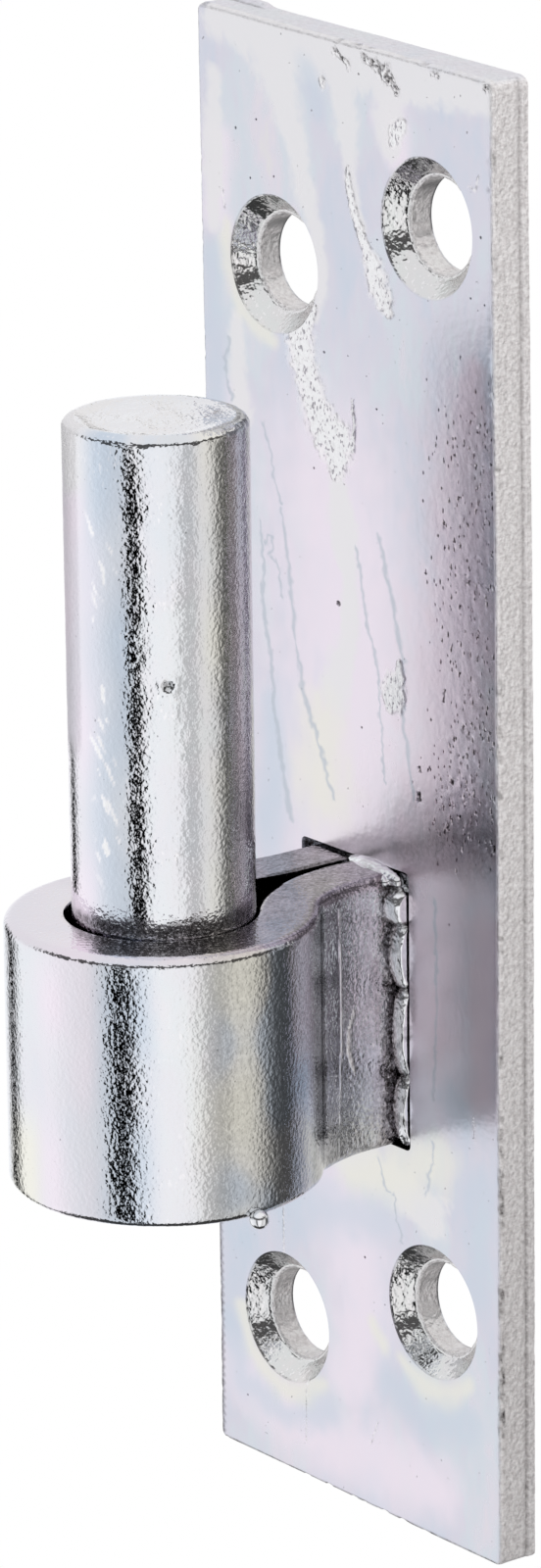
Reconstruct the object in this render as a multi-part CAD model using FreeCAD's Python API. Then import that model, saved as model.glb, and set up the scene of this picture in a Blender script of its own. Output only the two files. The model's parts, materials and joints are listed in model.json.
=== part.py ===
import FreeCAD, Part
import math
import os

# A hinge pin on a plate. The plate screws to a post, a rolled strap is welded into its slot, and the
# pin stands upright in the eye of the strap, so that a hinge leaf drops over it and turns.
# Millimetres and degrees. The origin is the middle of the plate's back face, +X runs across the
# plate, -Y points from the plate towards the pin, and +Z is up along the pin.

Vector = FreeCAD.Vector
ORIGIN = Vector(0, 0, 0)
ACROSS = Vector(1, 0, 0)
BACKWARD = Vector(0, 1, 0)
UP = Vector(0, 0, 1)
RIGHT = 1
LEFT = -1

# Plate
plate_height = 100.0
plate_width = 30.0
plate_thickness = 3.0
plate_side_shift = -0.15
plate_corner_round = 0.6
plate_front_round = 0.25

# Screw holes: two columns, the right one set higher than the left one
screw_hole_diameter = 6.3
countersink_diameter = 9.25
countersink_angle = 90.0
hole_column_spacing = 15.8
hole_row_margin = 13.25
hole_stagger = 5.0
hole_pattern_rise = 0.3

# Slot that takes the two legs of the strap
slot_width = 11.3
slot_height = 19.3
slot_corner_round = 0.9
slot_centre_z = -13.6

# Strap, rolled from flat strip. The reach is from the plate's front to the middle of the eye.
strap_thickness = 4.0
strap_width = 18.2
strap_bore_edge_round = 0.2
strap_outer_edge_round = 0.6
strap_outer_hollow = 0.15
strap_drop = 0.1
eye_reach = 15.8
leg_gap = 0.6
leg_pair_shift = -0.1
leg_end_recess = 1.2

# Each leg leaves the eye in a bend, runs on at a lean and turns square to the plate in a second bend.
# The radii are on the hollow side.
right_first_bend_radius = 3.0
right_lean_angle = 22.0
right_lean_run = 1.0
right_second_bend_radius = 10.0
left_first_bend_radius = 2.0
left_lean_angle = 6.0
left_lean_run = 1.0
left_second_bend_radius = 10.0

# Pin, pushed against the right side of its bore, with a shallow neck turned just inside the eye
pin_diameter = 12.0
pin_free_length = 33.1
pin_rim_width = 0.6
pin_rim_height = 0.6
pin_foot_chamfer = 0.5
pin_neck_height = 0.8
pin_neck_depth = 0.2
pin_bore_clearance = 0.3
pin_side_gap = 0.05

# Weld in the slot: runs of lobes down each leg's outer face, and one lobe over the right leg's top.
# The shares say how much of the height each lobe of a leg takes, from the top down.
weld_edge_gap = 0.05
weld_end_void = 0.7
left_weld_top_void = 3.0
right_bead_shares = (0.14, 0.27, 0.36, 0.23)
left_bead_shares = (0.34, 0.33, 0.33)
bead_radius = 1.5
bead_overlap = 1.2
bead_setback = 0.35
cap_bead_radius = 1.2
cap_bead_overlap = 1.6
cap_bead_drop = 0.95

# Weld under the eye, and a bead of spatter on the eye's lower edge
puddle_depth = 1.0
puddle_crown = 0.7
spatter_diameter = 1.3
spatter_angle = -2.5
spatter_stand_off = 0.2

# Places that follow from the sizes above
plate_front_y = -plate_thickness
hole_row_spacing = plate_height - 2 * hole_row_margin
pin_radius = pin_diameter / 2
bore_radius = pin_radius + pin_bore_clearance
eye_radius = bore_radius + strap_thickness
eye_centre = Vector(pin_side_gap - pin_bore_clearance, plate_front_y - eye_reach, 0)
strap_centre_z = slot_centre_z - strap_drop
strap_top_z = strap_centre_z + strap_width / 2
strap_bottom_z = strap_centre_z - strap_width / 2
slot_right_x = slot_width / 2
slot_top_z = slot_centre_z + slot_height / 2
slot_bottom_z = slot_centre_z - slot_height / 2
leg_end_y = -leg_end_recess
right_leg_inner_x = leg_pair_shift + leg_gap / 2
left_leg_inner_x = leg_pair_shift - leg_gap / 2
pin_top_z = strap_top_z + pin_free_length
pin_foot_z = strap_bottom_z + puddle_depth

# Share of a corner's size between the corner and the middle of the quarter circle that rounds it
QUARTER_ARC_SAG = 1 - math.sqrt(0.5)


def box_between(low, high):
    """A box from its lowest corner to its highest."""
    size = high - low
    return Part.makeBox(size.x, size.y, size.z, low)


def edges_along(shape, direction):
    """The straight edges of a shape that run along a direction."""
    found = []
    for edge in shape.Edges:
        if edge.Curve.TypeId == "Part::GeomLine" and abs(edge.Curve.Direction.dot(direction)) > 0.999:
            found.append(edge)
    return found


def rounded_bar(width, height, centre, front_y, back_y, corner_round):
    """A bar that runs from front to back, with its four long edges rounded."""
    low = Vector(centre.x - width / 2, front_y, centre.z - height / 2)
    high = Vector(centre.x + width / 2, back_y, centre.z + height / 2)
    bar = box_between(low, high)
    return bar.makeFillet(corner_round, edges_along(bar, BACKWARD))


def slot_bar(front_y, back_y):
    """The space of the slot between two depths."""
    centre = UP * slot_centre_z
    return rounded_bar(slot_width, slot_height, centre, front_y, back_y, slot_corner_round)


def screw_hole(x, z):
    """A countersunk screw hole, open to the front."""
    radius = screw_hole_diameter / 2
    mouth = countersink_diameter / 2
    depth = (mouth - radius) / math.tan(math.radians(countersink_angle / 2))
    bore = Part.makeCylinder(radius, plate_thickness, Vector(x, plate_front_y, z), BACKWARD)
    sink = Part.makeCone(mouth, radius, depth, Vector(x, plate_front_y, z), BACKWARD)
    return bore.fuse(sink)


def mounting_plate():
    centre = ACROSS * plate_side_shift
    plate = rounded_bar(plate_width, plate_height, centre, plate_front_y, 0, plate_corner_round)
    front_edges = []
    for edge in plate.Edges:
        box = edge.BoundBox
        if box.YMax < plate_front_y + plate_front_round / 2:
            front_edges.append(edge)
    plate = plate.makeFillet(plate_front_round, front_edges)
    plate = plate.cut(slot_bar(plate_front_y, 0))
    for column in (LEFT, RIGHT):
        for row in (-1, 1):
            x = column * hole_column_spacing / 2
            z = row * hole_row_spacing / 2 + column * hole_stagger / 2 + hole_pattern_rise
            plate = plate.cut(screw_hole(x, z))
    return plate


def strap_section(foot, outward):
    """The strip's cross-section, standing on its bore side at foot and facing outward."""
    inner = strap_bore_edge_round
    outer = strap_outer_edge_round
    inner_sag = inner * QUARTER_ARC_SAG
    outer_sag = outer * QUARTER_ARC_SAG
    half = strap_width / 2
    thick = strap_thickness

    def at(depth, height):
        return foot + outward * depth + UP * (strap_centre_z + height)

    def arc(start, middle, end):
        return Part.Arc(at(*start), at(*middle), at(*end)).toShape()

    def line(start, end):
        return Part.makeLine(at(*start), at(*end))

    edges = [
        line((0, inner - half), (0, half - inner)),
        arc((0, half - inner), (inner_sag, half - inner_sag), (inner, half)),
        line((inner, half), (thick - outer, half)),
        arc((thick - outer, half), (thick - outer_sag, half - outer_sag), (thick, half - outer)),
        arc((thick, half - outer), (thick - strap_outer_hollow, 0), (thick, outer - half)),
        arc((thick, outer - half), (thick - outer_sag, outer_sag - half), (thick - outer, -half)),
        line((thick - outer, -half), (inner, -half)),
        arc((inner, -half), (inner_sag, inner_sag - half), (0, inner - half)),
    ]
    return Part.Face(Part.Wire(edges))


def strap_half(side, first_radius, lean_angle, lean_run, second_radius):
    """From the front of the eye round to the end of the leg on one side, as pieces laid end to end."""
    lean = math.radians(lean_angle)
    leg_inner_x = right_leg_inner_x if side == RIGHT else left_leg_inner_x

    def outward(angle):
        return Vector(side * math.cos(angle), math.sin(angle), 0)

    leg_face_x = side * (leg_inner_x - eye_centre.x) + strap_thickness
    bend_x = (
        leg_face_x
        + second_radius * (1 - math.cos(lean))
        + lean_run * math.sin(lean)
        + first_radius * math.cos(lean)
    )
    wrap = math.acos(bend_x / (eye_radius + first_radius))

    front = strap_section(eye_centre - BACKWARD * bore_radius, -BACKWARD)
    eye = front.revolve(eye_centre, UP, side * (90 + math.degrees(wrap)))

    first_centre = eye_centre + outward(wrap) * (eye_radius + first_radius)
    eye_end = strap_section(eye_centre + outward(wrap) * bore_radius, outward(wrap))
    first_bend = eye_end.revolve(first_centre, UP, -side * (math.degrees(wrap) - lean_angle))

    lean_foot = first_centre - outward(lean) * (first_radius + strap_thickness)
    lean_step = Vector(-side * math.sin(lean), math.cos(lean), 0) * lean_run
    lean_start = strap_section(lean_foot, outward(lean))
    leaning = lean_start.extrude(lean_step)

    second_centre = lean_foot + lean_step + outward(lean) * (strap_thickness + second_radius)
    lean_end = strap_section(lean_foot + lean_step, outward(lean))
    second_bend = lean_end.revolve(second_centre, UP, -side * lean_angle)

    leg_foot = second_centre - outward(0) * (second_radius + strap_thickness)
    leg_start = strap_section(leg_foot, outward(0))
    leg = leg_start.extrude(BACKWARD * (leg_end_y - leg_foot.y))
    return [eye, first_bend, leaning, second_bend, leg]


def eye_strap():
    pieces = strap_half(
        RIGHT,
        right_first_bend_radius,
        right_lean_angle,
        right_lean_run,
        right_second_bend_radius,
    )
    pieces += strap_half(
        LEFT,
        left_first_bend_radius,
        left_lean_angle,
        left_lean_run,
        left_second_bend_radius,
    )
    return pieces[0].multiFuse(pieces[1:]).removeSplitter()


def turned(points, centre):
    """A solid turned about an upright axis through centre, from (radius, height) points.

    Lines join the points, and a point with a third value ends an arc whose middle is that value.
    """
    edges = []
    here = None
    for radius, height, *middle in points:
        there = centre + Vector(radius, 0, height)
        if here is not None and middle:
            through = centre + Vector(middle[0][0], 0, middle[0][1])
            edges.append(Part.Arc(here, through, there).toShape())
        elif here is not None:
            edges.append(Part.makeLine(here, there))
        here = there
    edges.append(Part.makeLine(here, edges[0].Vertexes[0].Point))
    return Part.Face(Part.Wire(edges)).revolve(centre, UP, 360)


def hinge_pin():
    rim_middle = (
        pin_radius - pin_rim_width * QUARTER_ARC_SAG,
        pin_top_z - pin_rim_height * QUARTER_ARC_SAG,
    )
    outline = [
        (0, pin_foot_z),
        (pin_radius - pin_foot_chamfer, pin_foot_z),
        (pin_radius, pin_foot_z + pin_foot_chamfer),
        (pin_radius, strap_top_z - pin_neck_height),
        (pin_radius - pin_neck_depth, strap_top_z - pin_neck_height),
        (pin_radius - pin_neck_depth, strap_top_z),
        (pin_radius, strap_top_z),
        (pin_radius, pin_top_z - pin_rim_height),
        (pin_radius - pin_rim_width, pin_top_z, rim_middle),
        (0, pin_top_z),
    ]
    return turned(outline, ORIGIN + BACKWARD * eye_centre.y)


def lobe(start, end, radius):
    """A run of weld from one point to another, thickest in the middle and pointed at the ends."""
    along = end - start
    aside = along.cross(BACKWARD).normalize()
    bulge = min(radius, along.Length / 2)
    profile = [
        Part.Arc(start, start + along / 2 + aside * bulge, end).toShape(),
        Part.makeLine(end, start),
    ]
    return Part.Face(Part.Wire(profile)).revolve(start, along, 360)


def side_bead(side):
    """Lobes of weld down the outer face of one leg, where it meets the plate."""
    leg_inner_x = right_leg_inner_x if side == RIGHT else left_leg_inner_x
    leg_face_x = leg_inner_x + side * strap_thickness
    foot = Vector((leg_face_x + side * slot_right_x) / 2, plate_front_y + bead_setback, 0)
    top_z = slot_top_z if side == RIGHT else strap_top_z - left_weld_top_void
    height = top_z - slot_bottom_z - weld_end_void
    lobes = []
    for share in right_bead_shares if side == RIGHT else left_bead_shares:
        bottom_z = top_z - height * share
        start = foot + UP * (top_z + bead_overlap / 2)
        lobes.append(lobe(start, foot + UP * (bottom_z - bead_overlap / 2), bead_radius))
        top_z = bottom_z
    return lobes


def cap_bead():
    """The lobe of weld across the top of the right leg, under the slot's upper edge."""
    start = Vector(right_leg_inner_x - cap_bead_overlap / 2, plate_front_y, slot_top_z - cap_bead_drop)
    end = Vector(slot_right_x + cap_bead_overlap / 2, start.y, start.z)
    return lobe(start, end, cap_bead_radius)


def slot_weld(strap):
    """The metal that fills the slot round the legs, flush at the back and beaded at the front."""
    front_y = plate_front_y - bead_radius - cap_bead_radius
    low_z = slot_bottom_z + weld_end_void
    backing = slot_bar(leg_end_y, 0)

    right_low = Vector(right_leg_inner_x, front_y, low_z)
    right_high = Vector(slot_right_x - weld_edge_gap, leg_end_y, slot_top_z - weld_edge_gap)
    left_low = Vector(weld_edge_gap - slot_right_x, front_y, low_z)
    left_high = Vector(left_leg_inner_x, leg_end_y, strap_top_z - left_weld_top_void)
    in_front = slot_bar(front_y, leg_end_y)
    right_space = box_between(right_low, right_high).common(in_front)
    left_space = box_between(left_low, left_high).common(in_front)

    inside = slot_bar(plate_front_y, leg_end_y)
    right_fill = inside.multiFuse(side_bead(RIGHT) + [cap_bead()]).common(right_space)
    left_fill = inside.multiFuse(side_bead(LEFT)).common(left_space)
    return backing.multiFuse([right_fill, left_fill]).cut(strap).removeSplitter()


def pin_weld(strap):
    """The weld under the pin, which fills the foot of the bore and stands a little proud."""
    reach = bore_radius + strap_bore_edge_round
    ball_radius = (reach ** 2 + puddle_crown ** 2) / (2 * puddle_crown)
    half_turn = math.asin(reach / ball_radius) / 2
    crown_middle = (
        ball_radius * math.sin(half_turn),
        strap_bottom_z - puddle_crown + ball_radius * (1 - math.cos(half_turn)),
    )
    outline = [
        (0, strap_bottom_z - puddle_crown),
        (reach, strap_bottom_z, crown_middle),
        (reach, strap_bottom_z + strap_bore_edge_round),
        (bore_radius, strap_bottom_z + strap_bore_edge_round),
        (bore_radius, pin_foot_z),
        (0, pin_foot_z),
    ]
    return turned(outline, eye_centre).cut(strap)


def weld_spatter(strap):
    angle = math.radians(spatter_angle)
    reach = eye_radius + spatter_stand_off
    place = eye_centre + Vector(reach * math.cos(angle), reach * math.sin(angle), strap_bottom_z)
    return Part.makeSphere(spatter_diameter / 2, place).cut(strap)


def build():
    strap = eye_strap()
    return {
        "mounting_plate": mounting_plate(),
        "eye_strap": strap,
        "hinge_pin": hinge_pin(),
        "slot_weld": slot_weld(strap),
        "pin_weld": pin_weld(strap),
        "weld_spatter": weld_spatter(strap),
    }


os.makedirs("parts", exist_ok=True)
for name, shape in build().items():
    solids = shape.Solids
    print(name, "solids", len(solids), "valid", shape.isValid(), "volume", round(shape.Volume, 1))
    shape.exportStep(f"parts/{name}.step")
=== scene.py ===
import json
import math

import bpy
import numpy as np
from mathutils import Matrix, Vector, noise
from mathutils.geometry import delaunay_2d_cdt


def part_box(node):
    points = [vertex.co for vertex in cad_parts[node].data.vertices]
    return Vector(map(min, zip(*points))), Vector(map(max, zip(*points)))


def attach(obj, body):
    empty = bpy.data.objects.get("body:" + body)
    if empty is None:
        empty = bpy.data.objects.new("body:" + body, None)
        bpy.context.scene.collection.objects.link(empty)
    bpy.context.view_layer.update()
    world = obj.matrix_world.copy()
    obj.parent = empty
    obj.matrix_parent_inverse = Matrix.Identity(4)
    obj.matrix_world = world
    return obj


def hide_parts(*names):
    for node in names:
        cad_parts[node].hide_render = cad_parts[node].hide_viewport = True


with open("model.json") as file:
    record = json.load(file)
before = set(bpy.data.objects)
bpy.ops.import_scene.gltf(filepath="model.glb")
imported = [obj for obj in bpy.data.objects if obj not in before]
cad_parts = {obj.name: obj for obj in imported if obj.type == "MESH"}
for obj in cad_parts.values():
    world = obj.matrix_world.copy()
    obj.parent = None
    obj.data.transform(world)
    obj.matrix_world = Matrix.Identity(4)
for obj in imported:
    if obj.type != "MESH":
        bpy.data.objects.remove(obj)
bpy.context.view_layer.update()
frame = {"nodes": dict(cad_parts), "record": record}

# Lengths are millimetres unless a name says otherwise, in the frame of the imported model:
# +X across the plate, -Y out of its front, +Z up along the pin.
MM = 0.001

# Camera
VIEW_AZIMUTH = 52.214
VIEW_ELEVATION = 16.916
VIEW_ROLL = -0.746
VIEW_TARGET = (-5.04, -6.04, 0.34)
VIEW_DISTANCE = 478.275
LENS = 166.09
SENSOR = 36.0

# Plate
PLATE_CORNER_ROUND = 0.6
PLATE_FRONT_ROUND = 0.3
PLATE_BACK_ROUND = 0.12
COUNTERSINK_RADIUS = 4.625
SLOT_WIDTH = 11.3
SLOT_HEIGHT = 19.3
SLOT_CORNER_ROUND = 0.4
SLOT_CENTRE = (0.0, -13.6)

# Strap
STRAP_THICKNESS = 4.0
STRAP_WIDTH = 18.2
STRAP_CENTRE_Z = -13.7
BORE_EDGE_ROUND = 0.2
OUTER_EDGE_ROUND = 0.7
EYE_CENTRE = (-0.25, -18.8)
BORE_RADIUS = 6.3
LEG_END_Y = -1.2
RIGHT_LEG = {"side": 1, "inner_x": 0.2, "first": 3.0, "lean": 22.0, "run": 1.0, "second": 10.0}
LEFT_LEG = {"side": -1, "inner_x": -0.4, "first": 2.0, "lean": 6.0, "run": 1.0, "second": 10.0}

# Mesh fineness
FRONT_STEP = 0.34
RELIEF_STEP = 0.13
EDGE_STEP = 0.3
BACK_STEP = 0.9
CORNER_STEPS = 4
HOLE_STEPS = 120
SINK_RINGS = 12
MERGE_DISTANCE = 1e-5


def millimetres(corners):
    return [np.array(corner) / MM for corner in corners]


PLATE_LOW, PLATE_HIGH = millimetres(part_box("mounting_plate"))
PIN_LOW, PIN_HIGH = millimetres(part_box("hinge_pin"))


class Value:
    """A node's output that can stand in a formula, so that 1 - mask adds its Math node."""

    def __init__(self, tree, socket):
        self.tree = tree
        self.socket = socket

    def output(self, name):
        return Value(self.tree, self.socket.node.outputs[name])

    def math(self, operation, *numbers):
        return self.tree.add("ShaderNodeMath", {"operation": operation}, dict(enumerate(numbers)))

    def __add__(self, other):
        return self.math("ADD", self, other)

    def __sub__(self, other):
        return self.math("SUBTRACT", self, other)

    def __rsub__(self, other):
        return self.math("SUBTRACT", other, self)

    def __mul__(self, other):
        return self.math("MULTIPLY", self, other)

    def __truediv__(self, other):
        return self.math("DIVIDE", self, other)

    def __rtruediv__(self, other):
        return self.math("DIVIDE", other, self)

    __radd__ = __add__
    __rmul__ = __mul__


class Tree:
    """A node tree that is filled from formulas."""

    def __init__(self, node_tree):
        node_tree.nodes.clear()
        self.nodes = node_tree.nodes
        self.links = node_tree.links

    def add(self, kind, settings=None, sockets=None, output=0):
        """Makes any node: its settings first, then its sockets. Gives one of its outputs."""
        node = self.nodes.new(kind)
        for name, setting in (settings or {}).items():
            if name == "stops":
                set_stops(node.color_ramp, setting)
            else:
                setattr(node, name, setting)
        for name, content in (sockets or {}).items():
            if isinstance(content, Value):
                self.links.new(content.socket, node.inputs[name])
            else:
                node.inputs[name].default_value = content
        return Value(self, node.outputs[output]) if node.outputs else node


def set_stops(ramp, stops):
    """Fills a colour ramp from (position, colour) pairs. A colour may be one grey number."""
    while len(ramp.elements) > 1:
        ramp.elements.remove(ramp.elements[-1])
    for index, (position, colour) in enumerate(stops):
        element = ramp.elements[0] if index == 0 else ramp.elements.new(position)
        element.position = position
        element.color = grey(colour) if isinstance(colour, (int, float)) else colour


def grey(level):
    return (level, level, level, 1)


def screen_colour(red, green, blue, gain=1.0):
    """A colour as a screen shows it, 0 to 255, turned into light and multiplied by a gain."""
    levels = []
    for level in (red, green, blue):
        share = level / 255
        light = share / 12.92 if share <= 0.04045 else ((share + 0.055) / 1.055) ** 2.4
        levels.append(light * gain)
    return (*levels, 1.0)


def mix(tree, factor, first, second):
    """The first colour where factor is 0, and the second where it is 1."""
    sockets = {0: factor, 6: first, 7: second}
    return tree.add("ShaderNodeMix", {"data_type": "RGBA"}, sockets, 2)


def ramp(tree, factor, stops):
    return tree.add("ShaderNodeValToRGB", {"stops": stops}, {"Fac": factor})


def smooth_step(tree, value, low, high):
    """0 under low, 1 over high and smooth between. It falls where low is the larger."""
    settings = {"interpolation_type": "SMOOTHSTEP"}
    return tree.add("ShaderNodeMapRange", settings, {"Value": value, 1: low, 2: high})


def linked(piece):
    bpy.context.scene.collection.objects.link(piece)
    return piece


def camera():
    """The camera at the photograph's viewing angle."""
    azimuth, elevation, roll = (math.radians(a) for a in (VIEW_AZIMUTH, VIEW_ELEVATION, VIEW_ROLL))
    level = math.cos(elevation)
    back = Vector((math.sin(azimuth) * level, -math.cos(azimuth) * level, math.sin(elevation)))
    right = Vector((math.cos(azimuth), math.sin(azimuth), 0))
    up = back.cross(right)
    rolled_right = right * math.cos(roll) + up * math.sin(roll)
    rolled_up = up * math.cos(roll) - right * math.sin(roll)
    data = bpy.data.cameras.new("camera")
    data.lens = LENS
    data.sensor_width = SENSOR
    data.clip_start = 0.01
    camera_object = linked(bpy.data.objects.new("camera", data))
    turn = Matrix((rolled_right, rolled_up, back)).transposed().to_4x4()
    place = (Vector(VIEW_TARGET) + back * VIEW_DISTANCE) * MM
    camera_object.matrix_world = Matrix.Translation(place) @ turn
    bpy.context.scene.camera = camera_object


# What the metal reflects round about at the height of the view: turns in degrees from the direction of
# the camera, positive to its right, and the light that comes from there.
STUDIO_RING = [
    (-180, 1.0), (-160, 1.0), (-153, 0.8), (-149, 0.0), (-139, 0.0), (-134, 0.7), (-127, 1.0), (-90, 0.97),
    (-75, 0.9), (-52, 0.8), (-42, 0.78), (-38, 0.5), (-36, 0.0), (-26, 0.0), (-22, 0.5), (-16, 0.95),
    (-6, 1.02), (16, 1.0), (24, 0.94), (30, 0.78), (35, 0.62), (41, 0.56), (47, 0.68), (55, 0.84),
    (66, 0.78), (74, 0.6), (82, 0.28), (92, 0.1), (130, 0.06), (155, 0.06), (172, 0.12), (180, 0.4),
]
STUDIO_TINT_LEFT = screen_colour(251, 252, 254)
STUDIO_TINT_RIGHT = screen_colour(252, 251, 250)
OVERHEAD_LIGHT = 0.9
GROUND_LIGHT = 0.05
# A dark patch above the camera, and the share of the light behind it that it hides
DARK_PATCH_LIGHT = (0.03, 0.028, 0.028, 1)
DARK_PATCH_COVER = 0.93
# The lamp's width and place, and the floor's half width and how far it lies below the origin, are metres
SIDE_LAMP_WATTS = 0.4
SIDE_LAMP_WIDTH = 0.15
SIDE_LAMP_PLACE = (0.17, -0.07, 0.2)
FLOOR_HALF_WIDTH = 1.5
FLOOR_DROP = 0.09
WHITE = (1, 1, 1, 1)


def studio():
    """A light tent that is white to the camera and has dark gaps where the metal reflects them."""
    world = bpy.data.worlds.new("studio")
    bpy.context.scene.world = world
    world.use_nodes = True
    tree = Tree(world.node_tree)
    azimuth = math.radians(VIEW_AZIMUTH)
    direction = tree.add("ShaderNodeTexCoord", output="Generated")

    def along(axis):
        sockets = {0: direction, 1: axis}
        return tree.add("ShaderNodeVectorMath", {"operation": "DOT_PRODUCT"}, sockets, "Value")

    sideways = along((math.cos(azimuth), math.sin(azimuth), 0))
    frontal = along((math.sin(azimuth), -math.cos(azimuth), 0))
    height = along((0, 0, 1))
    turn = sideways.math("ARCTAN2", sideways, frontal) / math.tau + 0.5
    ring = ramp(tree, turn, [(degrees / 360 + 0.5, level) for degrees, level in STUDIO_RING])
    overhead = smooth_step(tree, height, 0.02, 0.2)
    below = smooth_step(tree, height, -0.66, -0.84) * smooth_step(tree, frontal, 0.3, 0.15)
    over_camera = smooth_step(tree, height, 0.1, 0.2) * smooth_step(tree, height, 0.56, 0.44)
    over_camera = over_camera * smooth_step(tree, frontal, -0.35, 0.05)
    light = mix(tree, overhead, ring, grey(OVERHEAD_LIGHT))
    light = mix(tree, over_camera * DARK_PATCH_COVER, light, DARK_PATCH_LIGHT)
    light = mix(tree, below, light, grey(GROUND_LIGHT))
    tint = mix(tree, smooth_step(tree, turn, 0.4, 0.6), STUDIO_TINT_LEFT, STUDIO_TINT_RIGHT)
    settings = {"data_type": "RGBA", "blend_type": "MULTIPLY"}
    light = tree.add("ShaderNodeMix", settings, {0: 1.0, 6: light, 7: tint}, 2)
    seen = tree.add("ShaderNodeLightPath", output="Is Camera Ray")
    background = tree.add("ShaderNodeBackground", None, {"Color": mix(tree, seen, light, WHITE)})
    tree.add("ShaderNodeOutputWorld", None, {"Surface": background})


def side_lamp():
    """A soft lamp on the right that only reaches matt surfaces, such as the torn edges."""
    data = bpy.data.lights.new("side_lamp", "AREA")
    data.energy = SIDE_LAMP_WATTS
    data.size = SIDE_LAMP_WIDTH
    lamp = linked(bpy.data.objects.new("side_lamp", data))
    lamp.location = SIDE_LAMP_PLACE
    lamp.rotation_euler = Vector(SIDE_LAMP_PLACE).to_track_quat("Z", "Y").to_euler()
    lamp.visible_glossy = False


def floor():
    """A white sweep under the object, out of the way of the reflections."""
    mesh = bpy.data.meshes.new("floor")
    corners = [(-1, -1), (1, -1), (1, 1), (-1, 1)]
    points = [(x * FLOOR_HALF_WIDTH, y * FLOOR_HALF_WIDTH, -FLOOR_DROP) for x, y in corners]
    mesh.from_pydata(points, [], [(0, 1, 2, 3)])
    piece = linked(bpy.data.objects.new("floor", mesh))
    material = bpy.data.materials.new("floor")
    material.use_nodes = True
    tree = Tree(material.node_tree)
    matt = tree.add("ShaderNodeBsdfDiffuse", None, {"Color": grey(0.9)})
    white = tree.add("ShaderNodeEmission", None, {"Color": WHITE})
    seen = tree.add("ShaderNodeLightPath", output="Is Camera Ray")
    surface = tree.add("ShaderNodeMixShader", None, {0: seen, 1: matt, 2: white})
    tree.add("ShaderNodeOutputMaterial", None, {"Surface": surface})
    mesh.materials.append(material)
    piece.visible_glossy = False


# Passivation colours, from the bluest to the warmest
FILM_COLOURS = [
    (0.30, (200, 210, 222)),
    (0.42, (209, 212, 223)),
    (0.50, (215, 213, 223)),
    (0.58, (213, 218, 225)),
    (0.68, (223, 218, 226)),
    (0.80, (227, 226, 220)),
]
BARE_ZINC = (233, 234, 234)
PALE_FILM = (230, 228, 229)
ROSE_FILM = (238, 227, 236)
WARM_FILM = (233, 231, 221)
COOL_FILM = (201, 211, 223)
MAUVE_FILM = (222, 207, 216)
HAIRLINE = (188, 195, 204)
SCALE_WHITE = (250, 247, 248)
# Marks that only colour the zinc, in the order in which they lie over one another
FILMS = {
    "rose": ROSE_FILM,
    "pale": PALE_FILM,
    "warm": WARM_FILM,
    "cool": COOL_FILM,
    "mauve": MAUVE_FILM,
    "white": SCALE_WHITE,
    "hairline": HAIRLINE,
}
# The other marks: white run-down scale, torn steel, grainy skin, dirt and painted shade, and where the
# gloss is less or more
FINISHES = ("drip", "torn", "grainy", "dirt", "matt", "polish")
SPECK_DARK = (70, 66, 70)
SPECK_COVER = 0.5
FLECK_GREY = (178, 175, 181)
TORN_DARK = (218, 213, 213)
TORN_PALE = (246, 243, 243)
# The dark colour of dirt and of painted shade
GRIME_AND_SHADE = (52, 45, 44)
# How deep the fine skin of these marks is
DRIP_SKIN = 0.08
TORN_SKIN = 0.16
GRAINY_SKIN = 0.09
PALE_SKIN = 0.02


def noise_at(tree, place, size, stretch=(1, 1, 1), detail=2.0, roughness=0.5, shift=0.0):
    """Smooth noise, 0 to 1, with patches about as wide as size in millimetres."""
    scale = tuple(part / size for part in stretch)
    sockets = {"Vector": place, "Scale": scale, "Location": (shift, shift, -shift)}
    mapped = tree.add("ShaderNodeMapping", None, sockets)
    sockets = {"Vector": mapped, "Scale": 1.0, "Detail": detail, "Roughness": roughness}
    return tree.add("ShaderNodeTexNoise", None, sockets, "Fac")


def zinc(name, gain, roughness, grain_size, grain_depth, film=1.0):
    """Zinc plate with a thin passivation film: clouds of colour, fine grain, dark specks and marks.

    The marks come from attributes of the piece, each 0 where there is none and 1 where it is full.
    """
    material = bpy.data.materials.new(name)
    material.use_nodes = True
    tree = Tree(material.node_tree)
    metres = tree.add("ShaderNodeTexCoord", output="Object")
    place = tree.add("ShaderNodeVectorMath", {"operation": "SCALE"}, {0: metres, "Scale": 1 / MM})
    marks = {}
    for label in (*FILMS, *FINISHES):
        marks[label] = tree.add("ShaderNodeAttribute", {"attribute_name": label}, None, "Fac")
    drip, torn, grainy, _, matt, polish = (marks[label] for label in FINISHES)

    clouds = noise_at(tree, place, 6.0, (1, 1, 0.45), 4.0, 0.6)
    colour = zinc_colour(tree, place, clouds, marks, gain, film)
    coarse = noise_at(tree, place, grain_size, detail=1.0, shift=3.7)
    fine = noise_at(tree, place, 0.34, detail=1.0, shift=9.1)
    skin = drip * DRIP_SKIN + torn * TORN_SKIN + grainy * GRAINY_SKIN + marks["pale"] * PALE_SKIN
    height = coarse * grain_depth + skin * fine
    bump = tree.add("ShaderNodeBump", None, {"Height": height, "Distance": MM, "Strength": 1.0})
    rough = roughness + (clouds - 0.5) * 0.1 + drip * 0.16 + torn * 0.3 + matt * 0.45 - polish * 0.17
    metal = 1.0 - torn * 0.5
    sockets = {"Base Color": colour, "Metallic": metal, "Roughness": rough, "Normal": bump}
    shader = tree.add("ShaderNodeBsdfPrincipled", None, sockets)
    tree.add("ShaderNodeOutputMaterial", None, {"Surface": shader})
    return material


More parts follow.
